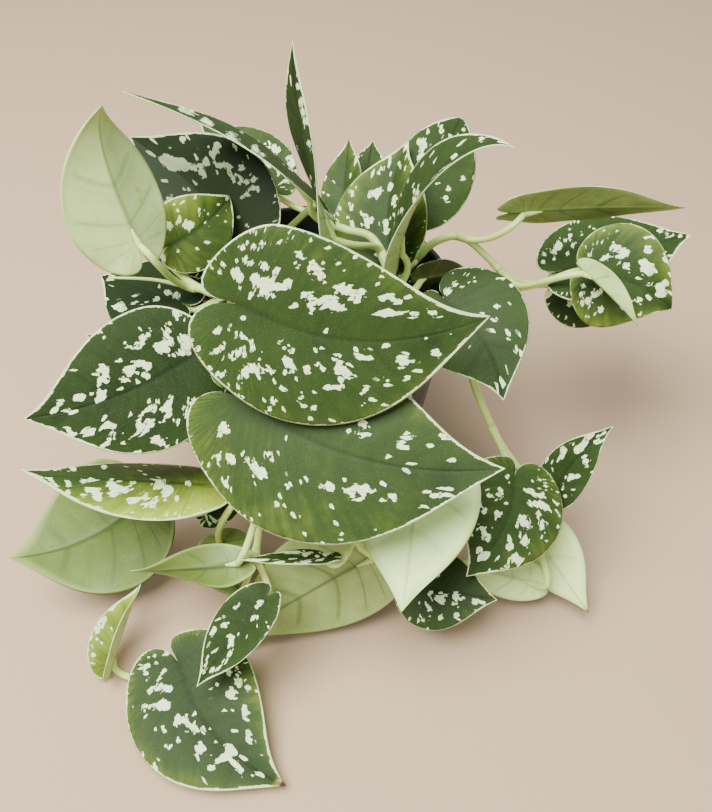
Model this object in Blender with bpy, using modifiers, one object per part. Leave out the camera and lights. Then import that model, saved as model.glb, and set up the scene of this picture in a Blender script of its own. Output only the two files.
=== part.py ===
"""A potted satin pothos: a round plastic nursery pot, its soil, ten vines and forty heart-shaped leaves.

The pot stands on z = 0 with its axis on the origin, and the plant's front is towards -Y. The vines root in
the soil, arch over the rim and hang, and each leaf hangs on the vine that carries its petiole. Sizes are in
millimetres until MM turns them into metres.
"""

import math
from collections import namedtuple

import bmesh
import bpy
import numpy as np

MM = 0.001

# Pot: a tapered cup with a turned-down rim and drain holes in its floor.
POT_HEIGHT = 110.0
POT_TOP_RADIUS = 62.5
POT_BASE_RADIUS = 46.0
POT_WALL = 1.6
POT_FLOOR = 3.0
POT_BASE_EDGE = 1.2
RIM_HEIGHT = 9.0
RIM_STEP = 1.8
DRAIN_RADIUS = 4.5
DRAIN_RING = 30.0
DRAIN_COUNT = 6
ROUND_STEPS = 48

# Soil: a plug that fills the pot, with a plain hole for each vine.
SOIL_HEIGHT = 97.0
SOIL_DOME = 1.5
SEAT_GAP = 0.3
HOLE_RADIUS = 2.2
HOLE_FLOOR = 84.0
HOLE_STEPS = 12

# Blades and stalks.
BLADE_THICKNESS = 0.8
PETIOLE_RADIUS = 1.15
PETIOLE_GAP = 0.6
PETIOLE_RISE = 50.0
STEM_STEPS = 2
PETIOLE_STEPS = 4
LARGE_LEAF = 75.0
LARGE_ROWS, LARGE_COLUMNS = 15, 6
SMALL_ROWS, SMALL_COLUMNS = 10, 4

# A vine's stem runs through its points from the soil to the growing tip. Its radius runs from thick to thin.
Vine = namedtuple("Vine", "thick thin points")
VINES = {
    "crown": Vine(1.7, 1.3, [
        (13, -9, 98), (12, -14, 104), (6, -22, 110), (-3, -30, 112), (-10, -36, 114),
    ]),
    "right_back": Vine(1.8, 1.2, [
        (40, 22, 98), (47, 24, 108), (56, 25, 117), (67, 25, 119), (80, 22, 109), (92, 16, 98),
    ]),
    "right_front": Vine(1.8, 1.2, [
        (43, -17, 98), (48, -22, 108), (55, -28, 113), (63, -36, 109), (70, -44, 92), (78, -51, 76),
        (86, -57, 60), (92, -67, 43),
    ]),
    "front": Vine(1.7, 1.0, [
        (-6, -36, 98), (-8, -48, 107), (-9, -60, 112), (-11, -69, 107), (-14, -76, 92), (-18, -84, 70),
        (-22, -94, 46), (-33, -106, 22), (-50, -121, 6), (-74, -128, 5),
    ]),
    "left_front": Vine(1.7, 1.2, [
        (-18, -34, 98), (-18, -46, 106), (-20, -59, 113), (-24, -66, 106), (-31, -63, 90), (-38, -56, 74),
        (-43, -51, 60), (-46, -56, 48),
    ]),
    "front_right": Vine(1.7, 1.1, [
        (13, -38, 98), (15, -48, 107), (17, -60, 113), (17, -68, 107), (16, -78, 90), (17, -88, 72),
        (22, -97, 58),
    ]),
    "front_low": Vine(1.7, 1.2, [
        (29, -32, 98), (33, -42, 108), (37, -51, 113), (40, -57, 105), (42, -58, 88), (42, -61, 70),
        (40, -67, 50), (36, -76, 34), (31, -85, 23),
    ]),
    "left_back": Vine(1.6, 0.4, [
        (-24, -1, 98), (-28, -6, 108), (-36, -14, 119), (-50, -13, 123), (-64, -10, 124), (-81, -10, 125),
    ]),
    "back": Vine(1.8, 1.2, [
        (31, -14, 98), (33, -12, 106), (33, -5, 124), (27, 8, 131), (16, 13, 132), (5, 21, 131),
        (0, 31, 129), (1, 41, 124), (-1, 50, 114),
    ]),
    "back_right": Vine(1.7, 1.1, [
        (32, 2, 98), (34, 2, 104), (38, 5, 112), (42, 9, 115), (46, 14, 114),
    ]),
}

# A leaf runs from base, where its petiole holds it, to tip, and hangs on its vine at a fraction of the stem.
# Roll turns the blade about that line, 0 with the upper side up and 180 with the underside up. Width is
# across both halves over the length. Fold lifts both halves about the midrib, arch bends the blade down
# along its length, hook bends the last of it more, twist turns the tip about the midrib, all in degrees,
# and sway bows the midrib to the left, in leaf lengths.
Leaf = namedtuple(
    "Leaf", "vine at base tip roll width fold arch hook twist sway", defaults=(8, 10, 0, 0, 0.0)
)
LEAVES = {
    "top_heart": Leaf("crown", 0.6, (-22, -56, 151), (67, -61, 150), 58, 0.74, 7, 10, 0, 0, -0.12),
    "front_heart": Leaf("left_front", 0.25, (-24, -66, 114), (73, -97, 110), 39, 0.72, 2, 22, -20, 0, -0.10),
    "left_heart": Leaf("left_front", 0.15, (-43, -51, 120), (-105, -72, 108), -49, 0.79, 6, 12, 0, 0, 0.06),
    "left_fold": Leaf("left_front", 0.93, (-43, -73, 68), (-114, -74, 80), 23, 0.61, -6, 12, -20, 0, 0.03),
    "left_pale": Leaf("left_front", 0.98, (-76, -61, 38), (-127, -89, 38), 143, 0.98, 6, 15, 0, 0, -0.09),
    "left_under": Leaf("left_front", 0.6, (-64, -41, 100), (-92, -24, 107), -30, 0.60),
    "left_tip": Leaf("left_front", 0.7, (-80, -50, 89), (-104, -43, 98), -33, 0.50),
    "floor_young": Leaf("front", 0.98, (-84, -123, 7), (-73, -93, 24), -28, 0.75, 56, 10),
    "floor_heart": Leaf("front", 0.8, (-54, -125, 16), (-7, -171, 5), 10, 0.80, 8, 12, 0, 0, -0.11),
    "floor_narrow": Leaf("front", 0.65, (-17, -113, 44), (-43, -140, 25), -5, 0.58, 25, 15),
    "front_curl": Leaf("front", 0.5, (-27, -100, 51), (-74, -97, 41), 160, 0.38, 12, 15, 0, -100),
    "front_pale": Leaf("front_right", 0.97, (28, -93, 46), (-35, -113, 9), 114, 0.70, 6, 15),
    "front_edge": Leaf("front_right", 0.9, (9, -105.6, 65.2), (-26, -105.6, 63.4), 36, 0.42, 4, 4),
    "front_small": Leaf("left_front", 0.88, (-44, -75.5, 48.5), (-25, -65, 53), 35, 0.60, 5, 10),
    "front_shade": Leaf("front", 0.4, (-40, -77, 32), (-30, -95, 10), -173, 0.90, 5, 10),
    "right_pale": Leaf("front_right", 0.35, (46, -73, 87), (37, -126, 59), -176, 0.80, 6, 20),
    "right_floor": Leaf("front_low", 0.97, (43, -95, 26), (79, -105, 31), 31, 0.90, 5, 6),
    "right_under": Leaf("right_front", 0.97, (99, -89, 17), (60, -85, 28), 132, 0.50, 8, 10),
    "right_spotted": Leaf("right_front", 0.8, (86, -67, 66), (65, -101, 43), -26, 1.0, 8, 20, 0, 0, 0.10),
    "right_low": Leaf("right_front", 0.9, (96, -68, 32), (122, -100, 11), -135, 0.64, 8, 14),
    "right_up": Leaf("right_front", 0.7, (104, -67, 52), (126, -54, 83), 32, 0.50, 8, 12, 0, 0, 0.07),
    "right_dark": Leaf("right_front", 0.2, (55, -24, 126), (77, -61, 106), 24, 0.95, 4, 22, 0, 0, 0.10),
    "right_small": Leaf("back", 0.12, (46, -7, 122), (69, -3, 122), -66, 1.0, 16, 10),
    "back_curl": Leaf("back", 0.15, (37, -6, 134), (77, -10, 184), -4, 0.62, 20, 45, 70),
    "back_bright": Leaf("back_right", 0.4, (35, 6, 121), (43, 53, 150), -27, 0.92, 28, 12, 0, 0, 0.08),
    "back_round": Leaf("right_back", 0.2, (47, 36, 127), (68, 76, 147), 20, 0.73, 5, 20, 70),
    "tall_edge": Leaf("back", 0.3, (10, -13, 146), (-1, -3, 220), -140, 0.44, 8, 14, 5, 45),
    "back_edge": Leaf("back", 0.6, (2, 18, 144), (-69, 22, 189), 22, 0.38, 10, 30),
    "back_grey": Leaf("back", 0.97, (-18, 53, 125), (-52, 79, 143), -28, 0.82, 6, 15),
    "back_cup": Leaf("back", 0.75, (-29, 8, 129), (-76, 43, 158), -39, 0.89, 14, -5, 0, 0, -0.05),
    "back_slim": Leaf("right_back", 0.15, (14, 36, 124), (17, 67, 143), -26, 0.60, 18, 10),
    "back_far": Leaf("right_back", 0.25, (24, 56, 120), (28, 80, 134), 4, 0.80, 6, 0),
    "pale_upright": Leaf("left_back", 0.55, (-62, -23, 151), (-65, -16, 204), -155, 0.80, 20, 12, 60, 0, -0.02),
    "bright_young": Leaf("left_back", 0.45, (-55, -6, 138), (-33, 20, 144), 48, 0.88, 8, 12, 60, 0, -0.06),
    "left_shade": Leaf("left_back", 0.35, (-53, -13, 114), (-93, 12, 108), -11, 0.92, 5, 10),
    "far_pale": Leaf("right_back", 0.6, (92, 26, 132), (161, 23, 136), -64, 0.43, 12, 8),
    "far_dark": Leaf("right_back", 0.85, (115, 25, 101), (175, 39, 110), 10, 0.80, 6, 10),
    "far_round": Leaf("right_back", 0.97, (120, 6, 115), (155, -8, 106), 56, 1.15, 4, 10, 60, 0, 0.09),
    "far_young": Leaf("right_back", 0.93, (116, -2, 122), (136, -28, 113), -67, 0.50, 55, 10),
    "far_low": Leaf("right_back", 0.9, (117, 31, 86), (154, 23, 85), 51, 0.95, 3, 0),
}
YOUNG_LEAVES = {"left_fold", "floor_young", "bright_young"}

# The shape of every blade, in leaf lengths from its base to its tip.
LOBE_RADIUS = 0.20
LOBE_TURN = 0.2
TIP_SHARPNESS = 40
TIP_SHARE = 0.14
WIDTH_OF_PLAIN_OUTLINE = 0.69
NOTCH_START = 0.03
MIDRIB_START = 0.38
VEIN_CURVE = 1.4
FOLD_SOFTNESS = 0.04
CUPPING = 0.25
SWAY_TURN = 0.6
SWAY_FADE = 0.06
TIP_CROWDING = 1.5


def clear_scene():
    for obj in list(bpy.data.objects):
        bpy.data.objects.remove(obj, do_unlink=True)


def new_collection(name):
    collection = bpy.data.collections.new(name)
    bpy.context.scene.collection.children.link(collection)
    return collection


def new_material(name, colour, roughness):
    material = bpy.data.materials.new(name)
    material.use_nodes = True
    shader = material.node_tree.nodes["Principled BSDF"]
    shader.inputs["Base Color"].default_value = (*colour, 1.0)
    shader.inputs["Roughness"].default_value = roughness
    shader.inputs["Metallic"].default_value = 0.0
    material.diffuse_color = (*colour, 1.0)
    return material


def add_object(name, mesh, collection, material=None):
    obj = bpy.data.objects.new(name, mesh)
    collection.objects.link(obj)
    if material:
        mesh.materials.append(material)
    return obj


def smooth_line(points, steps):
    """A smooth curve through the points: each span is a cubic that leaves a point along the line between
    that point's two neighbours."""
    given = np.array(points, float)
    given = np.vstack([2 * given[0] - given[1], given, 2 * given[-1] - given[-2]])
    t = np.linspace(0, 1, steps, endpoint=False)[:, None]
    spans = []
    for a, b, c, d in zip(given[:-3], given[1:-2], given[2:-1], given[3:]):
        turn = 2 * a - 5 * b + 4 * c - d
        spans.append((2 * b + (c - a) * t + turn * t**2 + (3 * b - 3 * c + d - a) * t**3) / 2)
    return np.vstack([*spans, given[-2][None]])


def vine_points(name, steps):
    """The stem's line, which stands upright in the soil up to its first point."""
    first = VINES[name].points[0]
    root = np.array([[first[0], first[1], HOLE_FLOOR + SEAT_GAP]], float)
    return np.vstack([root, smooth_line(VINES[name].points, steps)])


def on_vine(name, at):
    """The place on the stem at a fraction of its length in points, and the stem's direction there."""
    line = smooth_line(VINES[name].points, 8)
    k = at * (len(line) - 1)
    i = min(int(k), len(line) - 2)
    step = line[i + 1] - line[i]
    return line[i] + (k - i) * step, step / np.linalg.norm(step)


def leaf_axes(leaf):
    """The base, the length, and the directions along the leaf, to its left and out of its upper side."""
    base, tip = np.array(leaf.base, float), np.array(leaf.tip, float)
    length = np.linalg.norm(tip - base)
    along = (tip - base) / length
    face = np.array([0, 0, 1.0]) - along[2] * along
    face /= np.linalg.norm(face)
    roll = math.radians(leaf.roll)
    normal = face * math.cos(roll) + np.cross(along, face) * math.sin(roll)
    return base, length, along, np.cross(normal, along), normal


def leaf_spine(leaf):
    """The midrib bent by arch and hook: for places u along it, its run x, its rise z and its slope, turned
    and scaled so that it starts at the base and ends at the tip."""
    u = np.linspace(-0.5, 1, 151)
    start = 50
    bend = math.radians(leaf.arch) * u + math.radians(leaf.hook) * np.maximum(u, 0) ** 5
    middle = (bend[1:] + bend[:-1]) / 2
    x = np.concatenate([[0], np.cumsum(np.cos(middle)) * 0.01])
    z = np.concatenate([[0], np.cumsum(-np.sin(middle)) * 0.01])
    x, z = x - x[start], z - z[start]
    tilt = math.atan2(-z[-1], x[-1])
    x, z = x * math.cos(tilt) - z * math.sin(tilt), x * math.sin(tilt) + z * math.cos(tilt)
    return u, x / x[-1], z / x[-1], bend - tilt


def flat_blade(s, t, width):
    """The flat blade: its margin is a polar curve about the base, which swings out from a small round lobe
    and is drawn out to the tip. Row s of it runs from the midrib to the margin, as a side vein does, and
    column t runs from -1 on the right margin to 1 on the left one."""
    angle = math.pi * s
    swell = (1 - TIP_SHARE) * s**3 + TIP_SHARE * s**TIP_SHARPNESS
    radius = LOBE_RADIUS * (1 - np.exp(-angle / LOBE_TURN)) + (1 - LOBE_RADIUS) * swell
    margin_x = -radius * np.cos(angle)
    margin_y = radius * np.sin(angle) * width / WIDTH_OF_PLAIN_OUTLINE
    start = (np.maximum(s - MIDRIB_START, 0) / (1 - MIDRIB_START)) ** 2 * radius
    return start + (margin_x - start) * np.abs(t) ** VEIN_CURVE, margin_y * t


def blade_points(leaf, s, t):
    """The blade in its place: the flat blade folded about its midrib, cupped, bowed, twisted and laid along
    the bent midrib. The bow fades out behind the base, and turns the lobes with the midrib."""
    base, length, along, left, normal = leaf_axes(leaf)
    x, y = flat_blade(s, t, leaf.width)
    fold = math.radians(leaf.fold)
    lift = (np.sqrt(y**2 + FOLD_SOFTNESS**2) - FOLD_SOFTNESS) * math.sin(fold) - CUPPING * y**2
    across = y * math.cos(fold) + leaf.sway * 4 * x * (1 - x) / (1 + np.exp(-x / SWAY_FADE))
    x = x - SWAY_TURN * leaf.sway * 4 * (1 - 2 * np.maximum(x, 0)) * y
    turn = math.radians(leaf.twist) * x
    across, lift = across * np.cos(turn) - lift * np.sin(turn), across * np.sin(turn) + lift * np.cos(turn)
    u, run, rise, slope = leaf_spine(leaf)
    angle = np.interp(x, u, slope)
    forward = np.interp(x, u, run) + lift * np.sin(angle)
    upward = np.interp(x, u, rise) + lift * np.cos(angle)
    return base + length * (forward[:, None] * along + across[:, None] * left + upward[:, None] * normal)


def petiole_points(leaf, steps):
    """The leaf's stalk: a cubic that leaves the stem forwards and arrives from below and behind the blade's
    base, a hair short of the blade."""
    base, length, along, left, normal = leaf_axes(leaf)
    u, run, rise, slope = leaf_spine(leaf)
    lean = np.interp(0, u, slope)
    ahead = along * math.cos(lean) - normal * math.sin(lean)
    face = along * math.sin(lean) + normal * math.cos(lean)
    climb = math.radians(PETIOLE_RISE)
    arrive = ahead * math.cos(climb) + face * math.sin(climb)
    end = base - face * (BLADE_THICKNESS / 2 + PETIOLE_GAP + PETIOLE_RADIUS * math.cos(climb))
    start, way = on_vine(leaf.vine, leaf.at)
    reach = np.linalg.norm(end - start)
    leaving = start + way * reach * 0.3
    arriving = end - arrive * reach * 0.45
    t = np.linspace(0, 1, steps + 1)[:, None]
    first_half = (1 - t) ** 3 * start + 3 * (1 - t) ** 2 * t * leaving
    return first_half + 3 * (1 - t) * t**2 * arriving + t**3 * end


def weld(mesh):
    shell = bmesh.new()
    shell.from_mesh(mesh)
    bmesh.ops.remove_doubles(shell, verts=shell.verts, dist=0.01 * MM)
    bmesh.ops.recalc_face_normals(shell, faces=shell.faces)
    shell.to_mesh(mesh)
    shell.free()


def evaluated_mesh(obj):
    depsgraph = bpy.context.evaluated_depsgraph_get()
    return bpy.data.meshes.new_from_object(obj.evaluated_get(depsgraph))


def add_rod(name, points, radii, collection):
    """A round rod along the points with closed ends: a bevelled curve made into a mesh."""
    curve = bpy.data.curves.new(name, "CURVE")
    curve.dimensions = "3D"
    curve.bevel_depth = MM
    curve.bevel_resolution = 1
    curve.use_fill_caps = True
    spline = curve.splines.new("POLY")
    spline.points.add(len(points) - 1)
    for control, place, radius in zip(spline.points, points, radii):
        control.co = (*(place * MM), 1.0)
        control.radius = radius
    guide = bpy.data.objects.new(name, curve)
    collection.objects.link(guide)
    mesh = evaluated_mesh(guide)
    weld(mesh)
    rod = bpy.data.objects.new(name, mesh)
    rod.matrix_world = guide.matrix_world
    bpy.data.objects.remove(guide, do_unlink=True)
    collection.objects.link(rod)
    return rod


def fuse(name, stem, stalks, collection, material):
    """One solid from a stem and the collection of stalks that start inside it."""
    union = stem.modifiers.new("union", "BOOLEAN")
    union.operation = "UNION"
    union.solver = "MANIFOLD"
    union.operand_type = "COLLECTION"
    union.collection = stalks
    mesh = evaluated_mesh(stem)
    weld(mesh)
    for piece in [*stalks.objects, stem]:
        bpy.data.objects.remove(piece, do_unlink=True)
    bpy.data.collections.remove(stalks)
    mesh.materials.clear()
    vine = add_object(name, mesh, collection, material)
    mesh.shade_smooth()
    mesh.set_sharp_from_angle(angle=math.radians(50))
    return vine


def add_turned(name, profile, collection, material):
    """A turned solid: a profile in the XZ plane, from the axis round to the axis, spun by Screw."""
    outline = bmesh.new()
    corners = [outline.verts.new((x * MM, 0, z * MM)) for x, z in profile]
    for a, b in zip(corners, corners[1:]):
        outline.edges.new((a, b))
    mesh = bpy.data.meshes.new(name)
    outline.to_mesh(mesh)
    outline.free()
    obj = add_object(name, mesh, collection, material)
    screw = obj.modifiers.new("turn", "SCREW")
    screw.steps = ROUND_STEPS
    screw.render_steps = ROUND_STEPS
    screw.use_normal_flip = True
    screw.use_merge_vertices = True
    screw.merge_threshold = 0.00001
    screw.use_smooth_shade = True
    return obj


def add_cutter(name, x, y, low, high, radius, cutters):
    """An upright cylinder that cuts a hole."""
    shell = bmesh.new()
    bmesh.ops.create_cone(
        shell, cap_ends=True, segments=HOLE_STEPS, radius1=radius * MM, radius2=radius * MM,
        depth=(high - low) * MM,
    )
    mesh = bpy.data.meshes.new(name)
    shell.to_mesh(mesh)
    shell.free()
    cutter = add_object(name, mesh, cutters)
    cutter.location = (x * MM, y * MM, (low + high) / 2 * MM)
    cutter.hide_render = True
    cutter.display_type = "WIRE"


def cut(obj, cutters):
    holes = obj.modifiers.new("holes", "BOOLEAN")
    holes.operation = "DIFFERENCE"
    holes.solver = "MANIFOLD"
    holes.operand_type = "COLLECTION"
    holes.collection = cutters


def pot_inner_radius(z):
    """The inside of the wall below the rim: the outside's straight taper less the wall."""
    below_rim = POT_TOP_RADIUS - RIM_STEP
    share = z / (POT_HEIGHT - RIM_HEIGHT)
    return POT_BASE_RADIUS + (below_rim - POT_BASE_RADIUS) * share - POT_WALL


def add_pot(collection, cutters, material):
    rim_bottom = POT_HEIGHT - RIM_HEIGHT
    profile = [
        (0, 0),
        (POT_BASE_RADIUS - POT_BASE_EDGE, 0),
        (POT_BASE_RADIUS, POT_BASE_EDGE),
        (POT_TOP_RADIUS - RIM_STEP, rim_bottom - 1.0),
        (POT_TOP_RADIUS, rim_bottom),
        (POT_TOP_RADIUS, POT_HEIGHT - 0.8),
        (POT_TOP_RADIUS - 0.5, POT_HEIGHT),
        (POT_TOP_RADIUS - 2.2, POT_HEIGHT),
        (POT_TOP_RADIUS - 2.7, POT_HEIGHT - 0.8),
        (pot_inner_radius(rim_bottom), rim_bottom),
        (pot_inner_radius(POT_FLOOR), POT_FLOOR),
        (0, POT_FLOOR),
    ]
    pot = add_turned("pot", profile, collection, material)
    for k in range(DRAIN_COUNT):
        turn = 2 * math.pi * k / DRAIN_COUNT
        x, y = DRAIN_RING * math.cos(turn), DRAIN_RING * math.sin(turn)
        add_cutter(f"drain_{k}", x, y, -2.0, POT_FLOOR + 2.0, DRAIN_RADIUS, cutters)
    cut(pot, cutters)


def add_soil(collection, cutters, material):
    low = POT_FLOOR + SEAT_GAP
    low_radius = pot_inner_radius(low) - SEAT_GAP
    top_radius = pot_inner_radius(SOIL_HEIGHT - SOIL_DOME) - SEAT_GAP
    profile = [
        (0, low),
        (low_radius, low),
        (top_radius, SOIL_HEIGHT - SOIL_DOME),
        (top_radius * 0.6, SOIL_HEIGHT - SOIL_DOME * 0.3),
        (0, SOIL_HEIGHT),
    ]
    soil = add_turned("potting_soil", profile, collection, material)
    for name, vine in VINES.items():
        x, y, _ = vine.points[0]
        add_cutter(f"hole_{name}", x, y, HOLE_FLOOR, SOIL_HEIGHT + 5.0, HOLE_RADIUS, cutters)
    cut(soil, cutters)


def add_leaf(name, leaf, collection, material):
    """A blade: a flat grid whose corners are moved to the leaf's shape, given its thickness by Solidify."""
    large = leaf_axes(leaf)[1] >= LARGE_LEAF
    rows, columns = (LARGE_ROWS, LARGE_COLUMNS) if large else (SMALL_ROWS, SMALL_COLUMNS)
    sheet = bmesh.new()
    bmesh.ops.create_grid(sheet, x_segments=rows, y_segments=columns, size=1)
    flat = np.array([corner.co[:] for corner in sheet.verts])
    share = 1 - ((1 - flat[:, 0]) / 2) ** TIP_CROWDING
    s = NOTCH_START + (1 - NOTCH_START) * share
    for corner, place in zip(sheet.verts, blade_points(leaf, s, flat[:, 1]) * MM):
        corner.co = place
    bmesh.ops.remove_doubles(sheet, verts=sheet.verts, dist=0.02 * MM)
    bmesh.ops.triangulate(sheet, faces=sheet.faces)
    bmesh.ops.recalc_face_normals(sheet, faces=sheet.faces)
    mesh = bpy.data.meshes.new(f"leaf_{name}")
    sheet.to_mesh(mesh)
    sheet.free()
    mesh.shade_smooth()
    blade = add_object(f"leaf_{name}", mesh, collection, material)
    thickness = blade.modifiers.new("thickness", "SOLIDIFY")
    thickness.thickness = BLADE_THICKNESS * MM
    thickness.offset = 0.0


def add_vine(name, vine, collection, material):
    """A stem with the petioles of its leaves, as one solid."""
    line = vine_points(name, STEM_STEPS)
    stem = add_rod(f"stem_{name}", line, np.linspace(vine.thick, vine.thin, len(line)), collection)
    stalks = new_collection(f"stalks_{name}")
    for leaf_name, leaf in LEAVES.items():
        if leaf.vine == name:
            points = petiole_points(leaf, PETIOLE_STEPS)
            add_rod(f"petiole_{leaf_name}", points, [PETIOLE_RADIUS] * len(points), stalks)
    fuse(f"vine_{name}", stem, stalks, collection, material)


def build():
    clear_scene()
    plant = new_collection("potted_satin_pothos")
    drains = new_collection("drain_cutters")
    holes = new_collection("soil_cutters")
    plastic = new_material("pot_plastic", (0.012, 0.022, 0.018), 0.42)
    soil = new_material("potting_soil", (0.035, 0.022, 0.014), 0.95)
    stem = new_material("stem", (0.42, 0.55, 0.20), 0.50)
    leaf = new_material("leaf", (0.045, 0.13, 0.035), 0.48)
    young = new_material("young_leaf", (0.22, 0.38, 0.06), 0.45)
    add_pot(plant, drains, plastic)
    add_soil(plant, holes, soil)
    for name, vine in VINES.items():
        add_vine(name, vine, plant, stem)
    for name, blade in LEAVES.items():
        add_leaf(name, blade, plant, young if name in YOUNG_LEAVES else leaf)


build()
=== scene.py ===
"""The looks of a potted satin pothos: silver-splashed leaves, vines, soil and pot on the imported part's frame.

Sizes are in millimetres until MM turns them into metres. The vines and leaves repeat the part's own
measurements, so each leaf lies where its solid lies.
"""

import math
from collections import namedtuple

import bmesh
import bpy
import numpy as np
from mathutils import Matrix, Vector


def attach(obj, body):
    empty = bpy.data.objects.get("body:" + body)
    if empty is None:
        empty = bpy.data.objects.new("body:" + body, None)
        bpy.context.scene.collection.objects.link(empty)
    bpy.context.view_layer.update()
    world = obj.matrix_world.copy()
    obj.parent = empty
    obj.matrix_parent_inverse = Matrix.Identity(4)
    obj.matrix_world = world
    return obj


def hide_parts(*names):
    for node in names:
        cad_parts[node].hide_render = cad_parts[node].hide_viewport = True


bl_info = {
    "name": "Potted Satin Pothos",
    "version": (1, 0, 0),
    "blender": (4, 5, 0),
    "location": "View3D > Sidebar > Pothos",
    "description": "Builds the leaves, vines, soil, pot finish and stage of a potted satin pothos",
    "category": "Add Mesh",
}

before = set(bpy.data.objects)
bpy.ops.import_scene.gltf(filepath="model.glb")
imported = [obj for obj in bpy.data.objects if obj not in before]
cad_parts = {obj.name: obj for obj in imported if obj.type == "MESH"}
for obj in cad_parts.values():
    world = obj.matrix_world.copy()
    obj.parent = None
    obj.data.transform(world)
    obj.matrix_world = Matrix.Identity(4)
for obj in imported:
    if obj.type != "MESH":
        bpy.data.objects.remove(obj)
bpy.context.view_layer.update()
MM = 0.001

# The camera of the photograph, which is 712 pixels wide and 812 high.
PHOTO_WIDTH, PHOTO_HEIGHT = 712, 812
CAMERA_PLACE = (20.0, -282.0, 348.5)
CAMERA_PITCH = 48.0
FOCAL_PIXELS = 850.0
SENSOR = 36.0

# Pot and soil.
POT_HEIGHT = 110.0
POT_TOP_RADIUS = 62.5
POT_BASE_RADIUS = 46.0
POT_WALL = 1.6
POT_FLOOR = 3.0
RIM_HEIGHT = 9.0
RIM_STEP = 1.8
SOIL_HEIGHT = 97.0
SOIL_DOME = 1.5
SEAT_GAP = 0.3
HOLE_FLOOR = 84.0

# A petiole ends PETIOLE_DROP radii under the blade's base and arrives PETIOLE_RISE degrees off the midrib.
# Its curve's two handles are the given shares of the distance between its ends. It swells where it clasps
# the stem and narrows at the joint with the blade, each by a share of its radius over a half length in
# millimetres. Its groove is a share of its radius deep, and fades where the side no longer faces up.
PETIOLE_RADIUS = 1.4
PETIOLE_RISE = 50.0
PETIOLE_DROP = 1.2
LEAVING_SHARE, ARRIVING_SHARE = 0.3, 0.45
CLASP_SWELLING, CLASP_LENGTH = 0.3, 5
JOINT_THINNING, JOINT_LENGTH = 0.06, 4
PETIOLE_GROOVE, GROOVE_SPREAD = 0.16, 0.12
PETIOLE_SIDES, PETIOLE_STEPS = 18, 28

# A rod's rounded end has this many rows of points.
CAP_ROWS = 4

# The petiole's run under the midrib: the places along the leaf, and the depths and radii in petiole radii.
MERGE_RUN = np.array([0.02, 0.05, 0.08, 0.115])
MERGE_DEPTH = np.array([1.05, 0.86, 0.66, 0.5])
MERGE_RADII = np.array([0.92, 0.76, 0.58, 0.38])

# A vine's stem runs through its points from the soil to the growing tip. Its radius runs from thick to thin.
# Each span between two points has STEM_STEPS places, and VINE_STEPS where a leaf's place on it is worked out.
STEM_STEPS, VINE_STEPS = 14, 8
Vine = namedtuple("Vine", "thick thin points")
VINES = {
    "crown": Vine(1.7, 1.3, [
        (13, -9, 98), (12, -14, 104), (6, -22, 110), (-3, -30, 112), (-10, -36, 114),
    ]),
    "right_back": Vine(1.8, 1.2, [
        (40, 22, 98), (47, 24, 108), (56, 25, 117), (67, 25, 119), (80, 22, 109), (92, 16, 98),
    ]),
    "right_front": Vine(1.8, 1.2, [
        (43, -17, 98), (48, -22, 108), (55, -28, 113), (63, -36, 109), (70, -44, 92), (78, -51, 76),
        (86, -57, 60), (92, -67, 43),
    ]),
    "front": Vine(1.7, 1.0, [
        (-6, -36, 98), (-8, -48, 107), (-9, -60, 112), (-11, -69, 107), (-14, -76, 92), (-18, -84, 70),
        (-22, -94, 46), (-33, -106, 22), (-50, -121, 6), (-74, -128, 5),
    ]),
    "left_front": Vine(1.7, 1.2, [
        (-18, -34, 98), (-18, -46, 106), (-20, -59, 113), (-24, -66, 106), (-31, -63, 90), (-38, -56, 74),
        (-43, -51, 60), (-46, -56, 48),
    ]),
    "front_right": Vine(1.7, 1.1, [
        (13, -38, 98), (15, -48, 107), (17, -60, 113), (17, -68, 107), (16, -78, 90), (17, -88, 72),
        (22, -97, 58),
    ]),
    "front_low": Vine(1.7, 1.2, [
        (29, -32, 98), (33, -42, 108), (37, -51, 113), (40, -57, 105), (42, -58, 88), (42, -61, 70),
        (40, -67, 50), (36, -76, 34), (31, -85, 23),
    ]),
    "left_back": Vine(1.6, 0.4, [
        (-24, -1, 98), (-28, -6, 108), (-36, -14, 119), (-50, -13, 123), (-64, -10, 124), (-81, -10, 125),
    ]),
    "back": Vine(1.8, 1.2, [
        (31, -14, 98), (33, -12, 106), (33, -5, 124), (27, 8, 131), (16, 13, 132), (5, 21, 131),
        (0, 31, 129), (1, 41, 124), (-1, 50, 114),
    ]),
    "back_right": Vine(1.7, 1.1, [
        (32, 2, 98), (34, 2, 104), (38, 5, 112), (42, 9, 115), (46, 14, 114),
    ]),
}

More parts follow.
